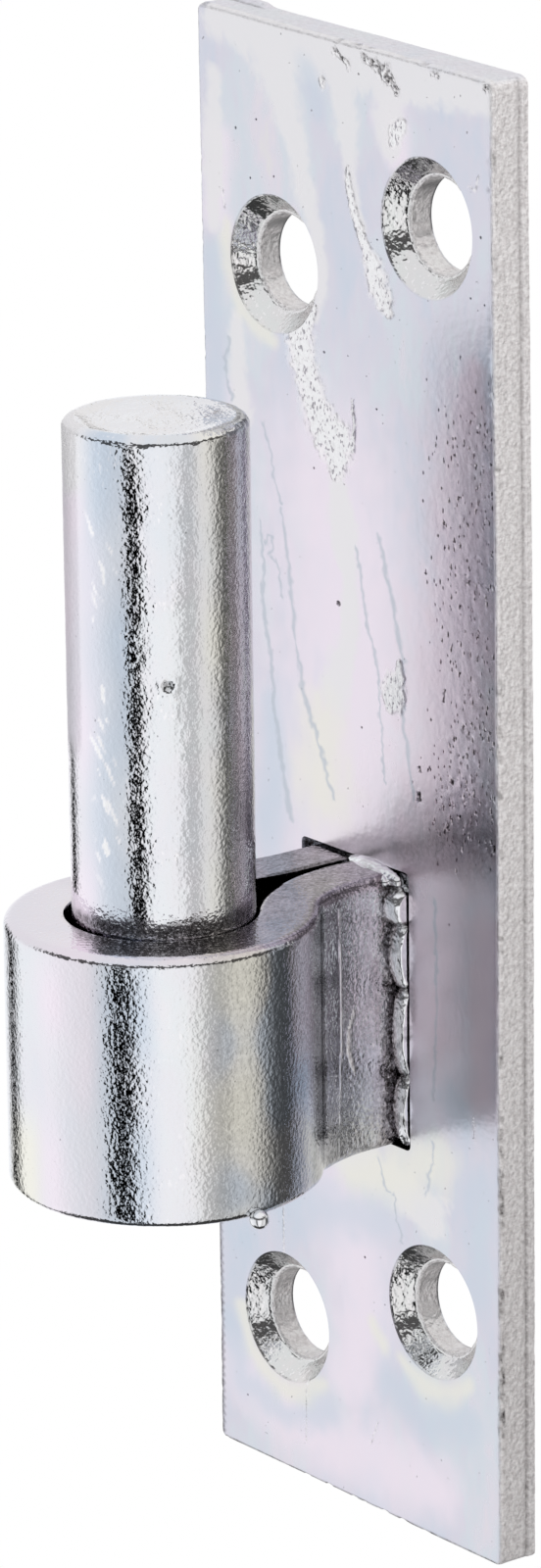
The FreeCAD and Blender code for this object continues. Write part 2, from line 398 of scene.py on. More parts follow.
def zinc_colour(tree, place, clouds, marks, gain, film):
    """The zinc's colour: film colours in clouds, with each mark's own colour laid over them."""

    def spots(size, stretch, detail, shift, low, high, roughness=0.5):
        return smooth_step(tree, noise_at(tree, place, size, stretch, detail, roughness, shift), low, high)

    stops = [(position, screen_colour(*tint, gain)) for position, tint in FILM_COLOURS]
    colour = mix(tree, 1 - film, ramp(tree, clouds, stops), screen_colour(*BARE_ZINC, gain))
    for label, tint in FILMS.items():
        colour = mix(tree, marks[label], colour, screen_colour(*tint, gain))
    specks = spots(0.35, (1, 1, 1), 1.0, 0.0, 0.77, 0.82)
    colour = mix(tree, specks * SPECK_COVER, colour, screen_colour(*SPECK_DARK))

    white = screen_colour(*SCALE_WHITE, gain)
    flecks = spots(0.22, (1, 1, 0.6), 2.0, 2.0, 0.44, 0.34)
    colour = mix(tree, marks["drip"], colour, mix(tree, flecks, white, screen_colour(*FLECK_GREY)))
    crumbs = spots(0.3, (1, 1, 1.6), 3.0, 5.0, 0.3, 0.66, 0.6)
    torn = mix(tree, crumbs, screen_colour(*TORN_DARK), screen_colour(*TORN_PALE))
    colour = mix(tree, marks["torn"], colour, torn)
    flakes = spots(0.2, (1, 1, 0.4), 1.0, 11.0, 0.61, 0.69)
    colour = mix(tree, flakes * marks["grainy"] * 0.8, colour, white)
    clotted = spots(0.3, (1, 1, 1), 3.0, 7.0, 0.3, 0.7, 0.7)
    # Dirt and painted shade, in one dark colour
    return mix(tree, marks["dirt"] * (clotted * 0.8 + 0.6), colour, screen_colour(*GRIME_AND_SHADE))


def grain(points, size, seed):
    """Smooth noise from -1 to 1 at each point, in patches about as wide as size."""
    shift = Vector((17.3, -11.9, 7.7)) * seed
    return np.array([noise.noise(Vector(point) + shift) for point in np.asarray(points) / size])


def step_between(value, low, high):
    """0 under low and 1 over high, smooth between. It falls where low is the larger."""
    share = np.clip((value - low) / (high - low), 0, 1)
    return share * share * (3 - 2 * share)


def band(value, start, full, fade, end):
    """1 from full to fade and 0 outside start and end, smooth between."""
    return step_between(value, start, full) * step_between(value, end, fade)


def mesh_piece(name, points, faces, material, sharp_angle=40.0, attributes=None):
    """A smooth-shaded piece from points in millimetres."""
    mesh = bpy.data.meshes.new(name)
    mesh.from_pydata([tuple(point) for point in np.asarray(points) * MM], [], faces)
    set_marks(mesh, attributes or {})
    return finished(bpy.data.objects.new(name, mesh), material, sharp_angle)


def set_marks(mesh, marks):
    """Writes each mark to the mesh as an attribute of its points, from 0 to 1."""
    for label, numbers in marks.items():
        mesh.attributes.new(label, "FLOAT", "POINT").data.foreach_set("value", np.clip(numbers, 0, 1))


def finished(piece, material, sharp_angle):
    """Gives a piece its material, and smooth shading that breaks at edges over an angle in degrees."""
    mesh = piece.data
    mesh.validate()
    mesh.shade_smooth()
    mesh.set_sharp_from_angle(angle=math.radians(sharp_angle))
    mesh.materials.clear()
    mesh.materials.append(material)
    return linked(piece)


def mesh_points(piece):
    """The places of a mesh piece's points in millimetres."""
    flat = np.empty(len(piece.data.vertices) * 3)
    piece.data.vertices.foreach_get("co", flat)
    return flat.reshape(-1, 3) / MM


def ring_strips(rings):
    """Faces between closed rings of point numbers that have as many points each."""
    faces = []
    count = len(rings[0])
    for low, high in zip(rings, rings[1:]):
        for i in range(count):
            j = (i + 1) % count
            faces.append((low[i], low[j], high[j], high[i]))
    return faces


def rounded_rectangle(width, height, centre, corner, step, inset=0.0):
    """Points round a rectangle with rounded corners and their outward directions, drawn in by inset."""
    points, outward = [], []
    for quarter in range(4):
        sign_x = 1 if quarter in (0, 3) else -1
        sign_z = 1 if quarter < 2 else -1
        across = sign_x * (width / 2 - corner)
        up = sign_z * (height / 2 - corner)
        middle = np.array([centre[0] + across, centre[1] + up])
        for i in range(CORNER_STEPS + 1):
            angle = math.pi / 2 * (quarter + i / CORNER_STEPS)
            direction = np.array([math.cos(angle), math.sin(angle)])
            points.append(middle + direction * (corner - inset))
            outward.append(direction)
        run = (width if quarter % 2 == 0 else height) - 2 * corner
        along = np.array([-math.sin(angle), math.cos(angle)])
        steps = round(run / step)
        start = points[-1]
        for i in range(1, steps):
            points.append(start + along * run * i / steps)
            outward.append(direction)
    return np.array(points), np.array(outward)


def circle(centre, radius):
    """Points round a hole, as x and z."""
    angles = np.arange(HOLE_STEPS) * math.tau / HOLE_STEPS
    outward = np.column_stack([np.cos(angles), np.sin(angles)])
    return np.array(centre) + outward * radius


def rectangle_distance(points, width, height, centre, corner):
    """How far points lie outside a rounded rectangle, less than 0 inside it."""
    offset = np.abs(points - np.array(centre)) - (np.array([width, height]) / 2 - corner)
    outside = np.linalg.norm(np.maximum(offset, 0), axis=1)
    return outside + np.minimum(offset.max(axis=1), 0) - corner


def screw_holes():
    """The places of the screw holes and their radius, from the record's mounts."""
    holes = []
    for mount in frame["record"]["mounts"]:
        if mount["kind"] == "bolt_pattern":
            x, _, z = np.array(mount["pos_m"]) / MM
            reach = mount["dims"]["spacing_y_mm"] / 2
            holes += [(x, z - reach), (x, z + reach)]
            radius = mount["dims"]["hole_r_mm"]
    return holes, radius


HOLES, BORE_HOLE_RADIUS = screw_holes()
PLATE_SIZE = (PLATE_HIGH[0] - PLATE_LOW[0], PLATE_HIGH[2] - PLATE_LOW[2])
PLATE_MIDDLE = ((PLATE_HIGH[0] + PLATE_LOW[0]) / 2, (PLATE_HIGH[2] + PLATE_LOW[2]) / 2)


def plate_clearance(points, hole_radius, inset):
    """How deep points of the plate's face lie inside its edge, its slot and its holes."""
    clear = -rectangle_distance(points, *PLATE_SIZE, PLATE_MIDDLE, PLATE_CORNER_ROUND) - inset
    slot = rectangle_distance(points, SLOT_WIDTH, SLOT_HEIGHT, SLOT_CENTRE, SLOT_CORNER_ROUND)
    clear = np.minimum(clear, slot)
    for hole in HOLES:
        clear = np.minimum(clear, np.linalg.norm(points - np.array(hole), axis=1) - hole_radius)
    return clear


def hexagon_grid(low, high, step):
    """Points between two corners, each about a step from its six neighbours."""
    rows = np.arange(low[1], high[1], step * math.sqrt(0.75))
    columns = np.arange(low[0], high[0], step)
    x, z = np.meshgrid(columns, rows)
    x = x + (np.arange(len(rows)) % 2)[:, None] * step / 2
    return np.column_stack([x.ravel(), z.ravel()])


def filled_face(loops, inner, hole_radius, inset):
    """A face between closed loops, with points inside it. Gives its points and triangles."""
    points, edges = [], []
    for loop in loops:
        start = len(points)
        points += [tuple(point) for point in loop]
        edges += [(start + i, start + (i + 1) % len(loop)) for i in range(len(loop))]
    points += [tuple(point) for point in inner]
    corners = [Vector(point) for point in points]
    _, _, triangles, origins, _, _ = delaunay_2d_cdt(corners, edges, [], 0, MERGE_DISTANCE, True)
    place = [origin[0] for origin in origins]
    triangles = np.array([[place[corner] for corner in triangle] for triangle in triangles])
    points = np.array(points)
    middles = points[triangles].mean(axis=1)
    inside = plate_clearance(middles, hole_radius, inset) > 0
    return points, triangles[inside]


# Marks on the plate's front are strokes: x, z and half width along each.
# Run-down streaks of rough white zinc
DRIPS = [
    [(-0.1, 42.2, 0.12), (0.0, 41.3, 0.3), (0.4, 39.9, 0.36), (1.0, 38.5, 0.42), (1.8, 37.1, 0.5),
     (2.6, 36.1, 0.95), (2.9, 35.1, 1.1), (3.5, 34.2, 0.9), (4.1, 33.4, 0.4)],
    [(-3.6, 32.4, 0.2), (-4.3, 31.2, 0.55), (-5.2, 30.1, 1.4), (-5.0, 29.0, 1.35), (-4.6, 28.0, 1.3),
     (-4.2, 27.0, 1.3), (-3.9, 26.0, 1.3), (-3.0, 25.0, 1.5), (-2.4, 24.2, 1.7)],
    [(-1.6, 24.7, 1.0), (-1.1, 24.2, 1.2), (-1.5, 23.2, 1.5), (-1.6, 22.3, 0.9), (-1.8, 21.5, 0.3)],
    [(0.2, 26.9, 0.08), (0.4, 25.2, 0.14), (0.1, 23.6, 0.3)],
    [(4.9, 10.2, 0.25), (4.9, 9.2, 0.45), (4.3, 8.4, 1.0), (4.2, 7.9, 1.1), (3.9, 7.3, 0.6)],
    [(5.6, 45.9, 0.45), (4.9, 45.3, 0.8), (4.6, 44.6, 0.35)],
    [(-2.6, 47.5, 0.3), (-2.5, 47.2, 0.25)],
]
# Pale film that ran down from the top edge
PALE_STROKES = [
    [(-13.5, 49.5, 1.1), (-6.0, 49.3, 1.9), (2.0, 49.0, 1.9), (8.0, 48.8, 1.4), (14.5, 49.0, 1.0)],
    [(-8.2, 49.5, 2.6), (-6.9, 46.5, 1.7), (-5.7, 43.2, 1.2), (-4.6, 40.0, 0.95), (-3.2, 36.8, 0.8),
     (-2.9, 34.0, 0.6), (-3.6, 31.8, 0.5)],
    [(-0.7, 49.3, 1.6), (-0.3, 46.0, 1.3), (0.0, 43.5, 0.9), (0.2, 41.5, 0.6), (1.2, 38.5, 0.6)],
    [(3.4, 49.0, 1.9), (4.2, 46.6, 1.6), (4.0, 44.9, 1.3)],
    [(-1.4, 21.0, 1.0), (-0.8, 18.5, 1.4), (-0.3, 15.0, 0.9), (-0.1, 11.0, 0.8), (-2.0, 7.0, 1.8)],
    [(-13.8, 46.0, 0.5), (-13.9, 40.0, 0.9), (-14.0, 36.0, 0.4)],
    [(-12.0, 30.0, 0.8), (-11.6, 24.0, 1.0)],
    [(-3.0, -25.0, 1.6), (8.0, -27.0, 1.6)],
]
WARM_STROKES = [
    [(-3.4, 4.0, 2.2), (-3.4, 0.2, 2.8)],
    [(-0.5, -26.6, 1.3), (4.0, -25.2, 2.0), (8.4, -23.2, 1.7)],
    [(-12.9, -39.6, 0.5), (-11.9, -42.6, 0.8), (-9.0, -44.3, 0.9), (-6.0, -44.1, 0.8), (-4.0, -42.6, 0.5)],
    [(4.5, -38.2, 0.4), (6.3, -39.4, 0.8), (9.2, -39.6, 0.9), (11.6, -38.0, 0.5)],
    [(-13.0, 36.5, 0.4), (-12.9, 33.4, 0.6), (-11.2, 30.6, 0.6), (-8.0, 29.4, 0.4)],
    [(1.6, -36.6, 0.5), (2.6, -38.0, 0.6)],
]
COOL_STROKES = [
    [(-14.0, -41.0, 0.7), (-12.8, -44.9, 1.2), (-8.0, -46.2, 0.8), (-3.4, -44.6, 1.2)],
    [(3.4, -40.2, 1.3), (7.0, -42.4, 1.2), (11.6, -40.8, 1.3)],
    [(-4.6, -30.0, 1.8), (2.4, -28.9, 1.5)],
    [(-8.8, 4.5, 0.9), (-8.4, 0.0, 1.2), (-9.2, -4.0, 1.4)],
    [(-4.0, 47.6, 1.0), (-3.0, 45.4, 0.8)],
    [(-14.2, 34.0, 0.9), (-14.0, 20.0, 1.0)],
    [(13.0, -23.5, 1.2), (12.5, -31.0, 1.5)],
]
ROSE_STROKES = [
    [(-2.0, 20.0, 6.0), (0.0, 12.0, 8.0), (0.0, 4.0, 8.0), (-1.0, -3.0, 6.0)],
    [(-1.0, -29.0, 4.0), (0.5, -36.0, 3.0), (-1.0, -41.0, 2.5)],
    [(-12.5, -44.5, 2.2), (-5.0, -46.6, 2.6), (3.0, -46.4, 3.0), (8.5, -46.5, 2.0)],
    [(-13.5, 42.0, 1.0), (-13.8, 37.0, 1.2)],
    [(4.5, 46.0, 1.6), (5.2, 43.6, 1.0)],
    [(-12.0, 25.0, 1.2), (-12.6, 20.0, 1.2)],
]
MAUVE_STROKES = [
    [(12.6, 31.0, 1.0), (11.0, 25.0, 3.0), (10.5, 10.0, 4.2), (8.5, -4.0, 3.6), (8.2, -14.0, 3.2)],
    [(13.2, -6.0, 1.6), (13.2, -17.0, 1.6)],
]
# Thin wandering edges of dried rinse water
HAIRLINES = [
    [(-9.8, 17.0, 0.1), (-9.3, 14.2, 0.12), (-9.7, 11.6, 0.16), (-9.0, 9.0, 0.22), (-8.6, 6.0, 0.2),
     (-8.2, 3.0, 0.2), (-7.6, 0.0, 0.2), (-6.8, -3.0, 0.24)],
    [(-7.4, 18.2, 0.12), (-6.8, 15.0, 0.2), (-6.3, 12.0, 0.2), (-6.0, 9.2, 0.16), (-5.2, 6.0, 0.24),
     (-4.2, 4.0, 0.14), (-3.3, 2.0, 0.14), (-2.9, 0.6, 0.16), (-2.2, -0.4, 0.14)],
    [(0.5, 17.0, 0.12), (1.2, 14.2, 0.16), (1.7, 12.0, 0.14), (2.6, 9.6, 0.14), (2.9, 7.0, 0.1),
     (3.1, 3.4, 0.1), (3.3, 1.6, 0.08)],
    [(2.8, 18.6, 0.16), (4.0, 15.0, 0.2), (4.8, 12.0, 0.22), (5.4, 10.6, 0.26), (5.1, 7.0, 0.2),
     (5.7, 4.0, 0.16), (6.3, 1.4, 0.14)],
    [(-8.6, 14.6, 0.1), (-7.8, 13.8, 0.12), (-7.5, 12.0, 0.08)],
    [(-9.2, 15.4, 0.1), (-8.9, 16.1, 0.1), (-8.4, 16.0, 0.1), (-8.3, 15.2, 0.1), (-8.8, 14.8, 0.1)],
    [(-9.4, 23.6, 0.12), (-8.4, 21.6, 0.12), (-8.2, 19.8, 0.12), (-7.3, 18.6, 0.12)],
    [(-12.8, 28.8, 0.14), (-13.2, 26.6, 0.1), (-12.6, 24.6, 0.12)],
    [(2.3, -24.6, 0.08), (2.8, -26.4, 0.1), (4.0, -27.2, 0.1), (4.0, -28.6, 0.1), (4.8, -29.9, 0.08)],
    [(8.1, -22.0, 0.08), (7.6, -24.6, 0.12), (7.3, -25.8, 0.08)],
    [(8.3, -5.0, 0.14), (8.5, -12.0, 0.12), (8.2, -19.0, 0.16)],
]
# Short white scratches
SCRATCHES = [
    [(-5.8, -42.6, 0.04), (-5.9, -47.4, 0.04)],
    [(-8.1, -31.0, 0.05), (-8.1, -34.8, 0.05)],
    [(12.2, 43.0, 0.05), (12.9, 42.8, 0.12), (13.3, 43.8, 0.1)],
    [(12.2, -19.0, 0.04), (12.3, -20.6, 0.04)],
    [(1.2, -45.4, 0.05), (1.9, -43.6, 0.06)],
    [(-13.2, 38.6, 0.1), (-13.0, 37.4, 0.06)],
]
# Dark pinholes in the coating: x, z, half width and half height
PINHOLES = [
    (-1.4, 12.95, 0.22, 0.18), (-11.8, 43.0, 0.1, 0.1), (-9.6, 43.9, 0.1, 0.07), (-10.3, 39.9, 0.08, 0.08),
    (-7.8, 40.4, 0.08, 0.08), (1.3, 48.4, 0.08, 0.06), (13.5, 39.9, 0.13, 0.1), (12.3, 35.8, 0.09, 0.07),
    (13.9, 35.6, 0.09, 0.07), (-2.7, 29.6, 0.12, 0.08), (2.7, 26.8, 0.1, 0.07), (2.9, 38.0, 0.08, 0.06),
    (-3.9, 21.6, 0.08, 0.08), (0.7, -32.1, 0.1, 0.08), (6.9, 3.5, 0.1, 0.3), (6.85, 1.6, 0.12, 0.5),
    (9.8, -6.4, 0.08, 0.08), (0.9, 5.0, 0.08, 0.08), (8.2, -31.4, 0.08, 0.08), (-12.4, -46.0, 0.07, 0.07),
]
# Crumbled coating under the top edge and at the top right corner
EDGE_CRUMBS = [
    [(2.0, 49.4, 0.15), (3.2, 49.1, 0.3), (4.4, 48.7, 0.45), (5.0, 47.9, 0.25)],
    [(-0.9, 49.3, 0.12), (0.3, 48.8, 0.2)],
    [(8.9, 49.5, 0.1), (9.6, 49.4, 0.12)],
    [(14.3, 49.5, 0.3), (14.8, 49.2, 0.3)],
    [(14.8, 48.5, 0.1), (14.75, 44.0, 0.16), (14.8, 38.0, 0.08), (14.75, 30.0, 0.12), (14.8, 24.0, 0.05)],
    [(14.8, -34.0, 0.05), (14.75, -40.0, 0.12), (14.8, -48.0, 0.06)],
]
# Painted shade by the slot: the strap's dark reflection rising to the right above it, and a dark line down
# its right edge
SLOT_SHADE_STROKES = [
    [(4.5, -2.8, 0.6), (9.0, -1.6, 1.3), (14.8, -0.8, 1.9)],
    [(5.95, -4.4, 0.3), (5.95, -14.0, 0.3)],
]
PIT_COUNT = 420
PIT_TRIES = 4000
PIT_DEPTH = 0.12
DRIP_HEIGHT = 0.05
CRUMB_HEIGHT = 0.06
# Painted shade as a dark line down the plate's lower left edge: how far from the edge it is full, and
# where it is gone
EDGE_SHADE_LINE = (0.3, 0.5)


def pits():
    """Pinholes and scattered pits: rows of x, z, half width and half height."""
    chance = np.random.default_rng(5)
    places = np.column_stack([chance.uniform(5.5, 14.5, PIT_TRIES), chance.uniform(-3.0, 34.0, PIT_TRIES)])
    places = places[chance.uniform(0, 1, PIT_TRIES) < pit_weight(places)][:PIT_COUNT]
    width = chance.uniform(0.04, 0.095, len(places))
    height = width * chance.uniform(1.0, 3.2, len(places))
    return np.vstack([np.column_stack([places, width, height]), PINHOLES])


def pit_mask(points):
    """1 in the middle of each pit and 0 from its rim outward."""
    mask = np.zeros(len(points))
    for x, z, width, height in PITS:
        near = np.flatnonzero(np.abs(points - (x, z)).max(axis=1) < 1.5 * max(width, height))
        reach = np.hypot(*((points[near] - (x, z)) / (width, height)).T)
        mask[near] = np.maximum(mask[near], step_between(reach, 1.15, 0.6))
    return mask


def pit_points():
    """Points that give each pit its shape in the mesh: its middle and two rings."""
    rings = [np.array([[0.0, 0.0]])]
    for count, reach in ((6, 0.62), (8, 1.15)):
        angles = np.arange(count) * math.tau / count
        rings.append(np.column_stack([np.cos(angles), np.sin(angles)]) * reach)
    shape = np.vstack(rings)
    return np.vstack([(x, z) + shape * (width, height) for x, z, width, height in PITS])


def stroke_mask(points, strokes, edge, ragged=0.0):
    """1 inside the strokes and 0 outside, over an edge given as a share of the half width."""
    mask = np.zeros(len(points))
    for path in strokes:
        for (x0, z0, w0), (x1, z1, w1) in zip(path, path[1:] or path):
            start, run = np.array([x0, z0]), np.array([x1 - x0, z1 - z0])
            share = np.clip((points - start) @ run / max(run @ run, 1e-9), 0, 1)
            distance = np.linalg.norm(points - start - share[:, None] * run, axis=1)
            half_width = w0 + (w1 - w0) * share
            mask = np.maximum(mask, step_between(distance / half_width + ragged, 1 + edge, 1 - edge))
    return mask


def on_front(points):
    """Places on the plate's front as points of space, for noise."""
    return np.column_stack([points[:, 0], np.zeros(len(points)), points[:, 1]])


def drip_mask(points):
    """1 on the streaks and 0 off them, with a ragged edge."""
    flat = on_front(points)
    ragged = grain(flat, 0.5, 4) * 0.32 + grain(flat, 0.22, 5) * 0.16
    return stroke_mask(points, DRIPS, 0.38, ragged)


def film_marks(points):
    """The film's fields of colour at each point, by attribute."""
    flat = on_front(points)
    wander = points + np.column_stack([grain(flat, 1.6, 31), grain(flat, 1.6, 32)]) * 0.25
    finer = np.column_stack([grain(flat, 0.4, 35), grain(flat, 0.4, 36)]) * 0.2
    broken = grain(flat, 0.8, 37) * 0.6
    cloudy = grain(flat, 1.4, 33) * 0.35 + grain(flat, np.array([0.5, 1, 1.4]), 34) * 0.2
    tattered = cloudy * 0.7 + grain(flat, np.array([0.35, 1, 0.6]), 38) * 0.25
    return {
        "rose": stroke_mask(wander, ROSE_STROKES, 0.9, cloudy * 0.7) * 0.85,
        "pale": stroke_mask(wander, PALE_STROKES, 0.35, tattered * 1.3) * 0.9,
        "warm": stroke_mask(wander, WARM_STROKES, 0.9, cloudy) * 0.8,
        "cool": stroke_mask(wander, COOL_STROKES, 0.9, cloudy) * 0.6,
        "mauve": stroke_mask(wander, MAUVE_STROKES, 0.8, cloudy) * 0.7,
        "hairline": stroke_mask(wander + finer, HAIRLINES, 0.7, broken) * 0.75,
    }


def pit_weight(points):
    """Where the plate's front is pitted: above the strap on the right, and up its right edge."""
    x, z = points[:, 0], points[:, 1]
    patch = step_between(x, 6.5, 11.0) * band(z, -2.5, 0.5, 3.0, 9.0)
    edge = step_between(x, 6.8, 12.5) * band(z, -4.0, 3.0, 24.0, 34.0) * 0.55
    return np.maximum(patch, edge)


def front_relief(points):
    """How far the plate's front stands out at each point, with its white marks and its dark marks, painted
    shade among the dark ones.
    """
    flat = on_front(points)
    height = grain(flat, 14.0, 1) * 0.05 + grain(flat, 3.5, 2) * 0.012
    height += grain(flat, np.array([0.6, 1, 2.2]), 3) * 0.004
    drip = drip_mask(points)
    texture = 0.8 + grain(flat, np.array([0.35, 1, 0.6]), 6) * 0.7
    height += drip * DRIP_HEIGHT * texture
    weight = pit_weight(points)
    holes = pit_mask(points)
    height -= holes * PIT_DEPTH
    height += grain(flat, np.array([0.3, 1, 0.7]), 8) * 0.025 * weight
    scratch = stroke_mask(points, SCRATCHES, 0.4)
    crumbs = stroke_mask(points, EDGE_CRUMBS, 0.4, grain(flat, 0.6, 7) * 0.8)
    broken = grain(flat, np.array([0.24, 1, 0.32]), 10) + grain(flat, 0.15, 17) * 0.5
    gaps = step_between(broken, 0.05, 0.25)
    height += crumbs * CRUMB_HEIGHT * (1 - gaps * 2)
    # Painted shade by the slot, from the strokes above
    slot_shade = stroke_mask(points, SLOT_SHADE_STROKES, 0.9, grain(flat, 1.5, 18) * 0.5) * 0.3
    # Painted shade down the plate's lower left edge
    full, gone = EDGE_SHADE_LINE
    painted_edge_shade = step_between(points[:, 0] - PLATE_LOW[0], gone, full)
    painted_edge_shade *= step_between(points[:, 1], 0.0, -20.0) * 0.6
    dark = np.maximum.reduce([holes * 0.85, crumbs * gaps * 0.8, slot_shade, painted_edge_shade])
    return height, np.maximum.reduce([drip, scratch * 0.6, crumbs * (1 - gaps)]), dark


PITS = pits()
# A crease along the sheared edge, and the shadow under its flake: the depths at which each begins, is
# full, fades and ends
CREASE = (2.05, 2.2, 2.3, 2.45)
FLAKE_SHADOW = (1.95, 2.15, 2.2, 2.3)


def edge_relief(points, outward, y):
    """How far the sheared edge stands out along its outline: torn grain, a crease and a lip at the back.

    Gives that with the edge's dark marks, the painted shade on its front corner where it faces left and
    down, and how torn it is.
    """
    x, z = points[:, 0], points[:, 1]
    depth = y - PLATE_LOW[1]
    flat = np.column_stack([x, np.full(len(x), y), z])
    side = step_between(np.abs(outward[:, 0]), 0.5, 0.9)
    torn = grain(flat, 0.5, 11) * 0.045 + grain(flat, 1.6, 12) * 0.04
    relief = torn * (0.3 + 0.5 * side) + grain(flat, 9.0, 13) * 0.05
    on_top = step_between(outward[:, 1], 0.5, 0.9)
    flake = step_between(x + grain(flat, 1.2, 16) * 0.6, -10.2, -11.4) * on_top
    relief += flake * step_between(depth, 2.15, 2.45) * 0.22
    lip = step_between(depth, 2.3, 2.5)
    crease = band(depth, *CREASE)
    relief += (lip * 0.1 - crease * 0.1) * side
    clustered = step_between(grain(flat, 5.0, 19), -0.15, 0.2)
    chips = step_between(grain(flat, 0.7, 14), 0.15, 0.4) * step_between(depth, 0.6, 0.2) * clustered
    relief -= chips * 0.2
    speckle = step_between(grain(flat, 0.45, 15), 0.05, 0.3) * (0.2 + 0.8 * clustered)
    # Painted shade in the crease, with dark specks near the front
    dark = np.maximum(crease * 0.35, speckle * step_between(depth, 0.55, 0.25) * 0.7) * side
    dark = np.maximum(dark, chips * 0.4)
    dark = np.maximum(dark, band(depth, *FLAKE_SHADOW) * flake * 0.6)
    # Darker towards the bottom on the sides
    dark += side * step_between(z, 15.0, -45.0) * 0.16
    # Painted shade on the front corner where it faces down, and low on the plate where it faces left
    shaded = -outward[:, 0] * step_between(z, -5.0, -25.0) - outward[:, 1]
    painted_edge_shade = np.clip(shaded, 0, 1) * (0.55 + grain(flat, 0.8, 20) * 0.5)
    return relief, dark, painted_edge_shade, 1 - on_top * 0.65


def plate(material):
    """The plate, with its sheared edges, countersunk holes, slot and surface relief."""
    points, faces, marks = [], [], []

    def add(flat, y, **mark):
        """Adds points of one depth, or of a depth each, and gives their numbers."""
        start = sum(len(group) for group in points)
        depth = np.broadcast_to(y, len(flat))
        points.append(np.column_stack([flat[:, 0], depth, flat[:, 1]]))
        marks.append(mark)
        return np.arange(start, start + len(flat))

    front, back = PLATE_LOW[1], PLATE_HIGH[1]

    def outline(inset):
        return rounded_rectangle(*PLATE_SIZE, PLATE_MIDDLE, PLATE_CORNER_ROUND, EDGE_STEP, inset)

    slot_shape = (SLOT_WIDTH, SLOT_HEIGHT, SLOT_CENTRE, SLOT_CORNER_ROUND)
    slot, slot_outward = rounded_rectangle(*slot_shape, EDGE_STEP)

    # Front face
    edge, _ = outline(PLATE_FRONT_ROUND)
    loops = [edge, slot] + [circle(hole, COUNTERSINK_RADIUS) for hole in HOLES]
    low = np.array([PLATE_LOW[0], PLATE_LOW[2]])
    high = np.array([PLATE_HIGH[0], PLATE_HIGH[2]])
    coarse = hexagon_grid(low, high, FRONT_STEP)
    finer = hexagon_grid(low, high, RELIEF_STEP)

    def needs_detail(place):
        wide = stroke_mask(place, DRIPS + EDGE_CRUMBS, 0.5)
        thin = stroke_mask(place, HAIRLINES + SCRATCHES, 2.0)
        return wide + thin > 0.01

    inner = np.vstack([coarse[~needs_detail(coarse)], finer[needs_detail(finer)], pit_points()])
    inner = inner[plate_clearance(inner, COUNTERSINK_RADIUS, PLATE_FRONT_ROUND) > FRONT_STEP * 0.45]
    flat, triangles = filled_face(loops, inner, COUNTERSINK_RADIUS, PLATE_FRONT_ROUND)
    relief, drip, dark = front_relief(flat)
    numbers = add(flat, front - relief, drip=drip, dirt=dark, **film_marks(flat))
    faces += [tuple(numbers[corner] for corner in triangle) for triangle in triangles]
    front_rings = split_loops(numbers, loops)

    # Back face
    back_edge, _ = outline(PLATE_BACK_ROUND)
    back_loops = [back_edge, slot] + [circle(hole, BORE_HOLE_RADIUS) for hole in HOLES]
    inner = hexagon_grid(low, high, BACK_STEP)
    inner = inner[plate_clearance(inner, BORE_HOLE_RADIUS, PLATE_BACK_ROUND) > BACK_STEP * 0.45]
    flat, triangles = filled_face(back_loops, inner, BORE_HOLE_RADIUS, PLATE_BACK_ROUND)
    numbers = add(flat, back)
    faces += [tuple(numbers[corner] for corner in triangle[::-1]) for triangle in triangles]
    back_rings = split_loops(numbers, back_loops)

    # Sheared edge, from the front round to the back one
    rings = [front_rings[0]]
    for share in (0.25, 0.5, 0.75, 1.0):
        angle = math.pi / 2 * share
        ring, outward = outline(PLATE_FRONT_ROUND * (1 - math.sin(angle)))
        y = front + PLATE_FRONT_ROUND * (1 - math.cos(angle))
        relief, _, _ = front_relief(ring)
        shift, dark, painted_edge_shade, rough = edge_relief(ring, outward, y)
        torn = rough * step_between(share, 0.1, 0.7)
        # Painted shade on the round's sides that face left and down
        dark = np.maximum(dark * share, painted_edge_shade)
        moved = ring + outward * shift[:, None] * share
        film = film_marks(ring)
        rings.append(add(moved, y - relief * (1 - share), torn=torn, dirt=dark, **film))
    ring, outward = outline(0.0)
    depths = np.linspace(front + PLATE_FRONT_ROUND, back - PLATE_BACK_ROUND, 14)
    for y in depths[1:]:
        shift, dark, _, rough = edge_relief(ring, outward, y)
        rings.append(add(ring + outward * shift[:, None], y, torn=rough, dirt=dark))
    rings.append(back_rings[0])
    faces += ring_strips([ring[::-1] for ring in rings])

    # Slot
    rings = [front_rings[1]]
    for y in np.linspace(front, back, 10)[1:-1]:
        shape = np.column_stack([slot[:, 0], np.full(len(slot), y), slot[:, 1]])
        shift = grain(shape, 0.8, 21) * 0.03
        # The slot's walls are painted dark all over: painted shade inside the slot
        rings.append(add(slot + slot_outward * shift[:, None], y, dirt=np.full(len(slot), 0.85)))
    rings.append(back_rings[1])
    faces += ring_strips(rings)

    # Countersinks and bores
    sink_depth = COUNTERSINK_RADIUS - BORE_HOLE_RADIUS
    for hole, mouth, far in zip(HOLES, front_rings[2:], back_rings[2:]):
        rings = [mouth]
        for share in np.linspace(0, 1, SINK_RINGS + 1)[1:]:
            cone = circle(hole, COUNTERSINK_RADIUS - sink_depth * share)
            bumps, sink_marks = sink_relief(cone, sink_depth, share)
            rings.append(add(cone, front + sink_depth * share - bumps, **sink_marks))
        bore = circle(hole, BORE_HOLE_RADIUS)
        for share in (0.1, 0.3, 0.6, 0.9):
            bore_y = front + sink_depth + (back - front - sink_depth) * share
            streak = 0.75 + grain(on_front(bore), np.array([0.5, 1, 0.5]), 45) * 0.4
            rings.append(add(bore, bore_y, torn=streak, polish=1 - streak, warm=np.full(HOLE_STEPS, 0.4)))
        rings.append(far)
        faces += ring_strips(rings)

    shape = out_of_square(np.vstack(points))
    return mesh_piece("plate", shape, faces, material, 38.0, joined_marks(marks, points))


# The torn burr at the foot of a countersink
BURR_HEIGHT = 0.1
BURR_RAGGEDNESS = 0.08


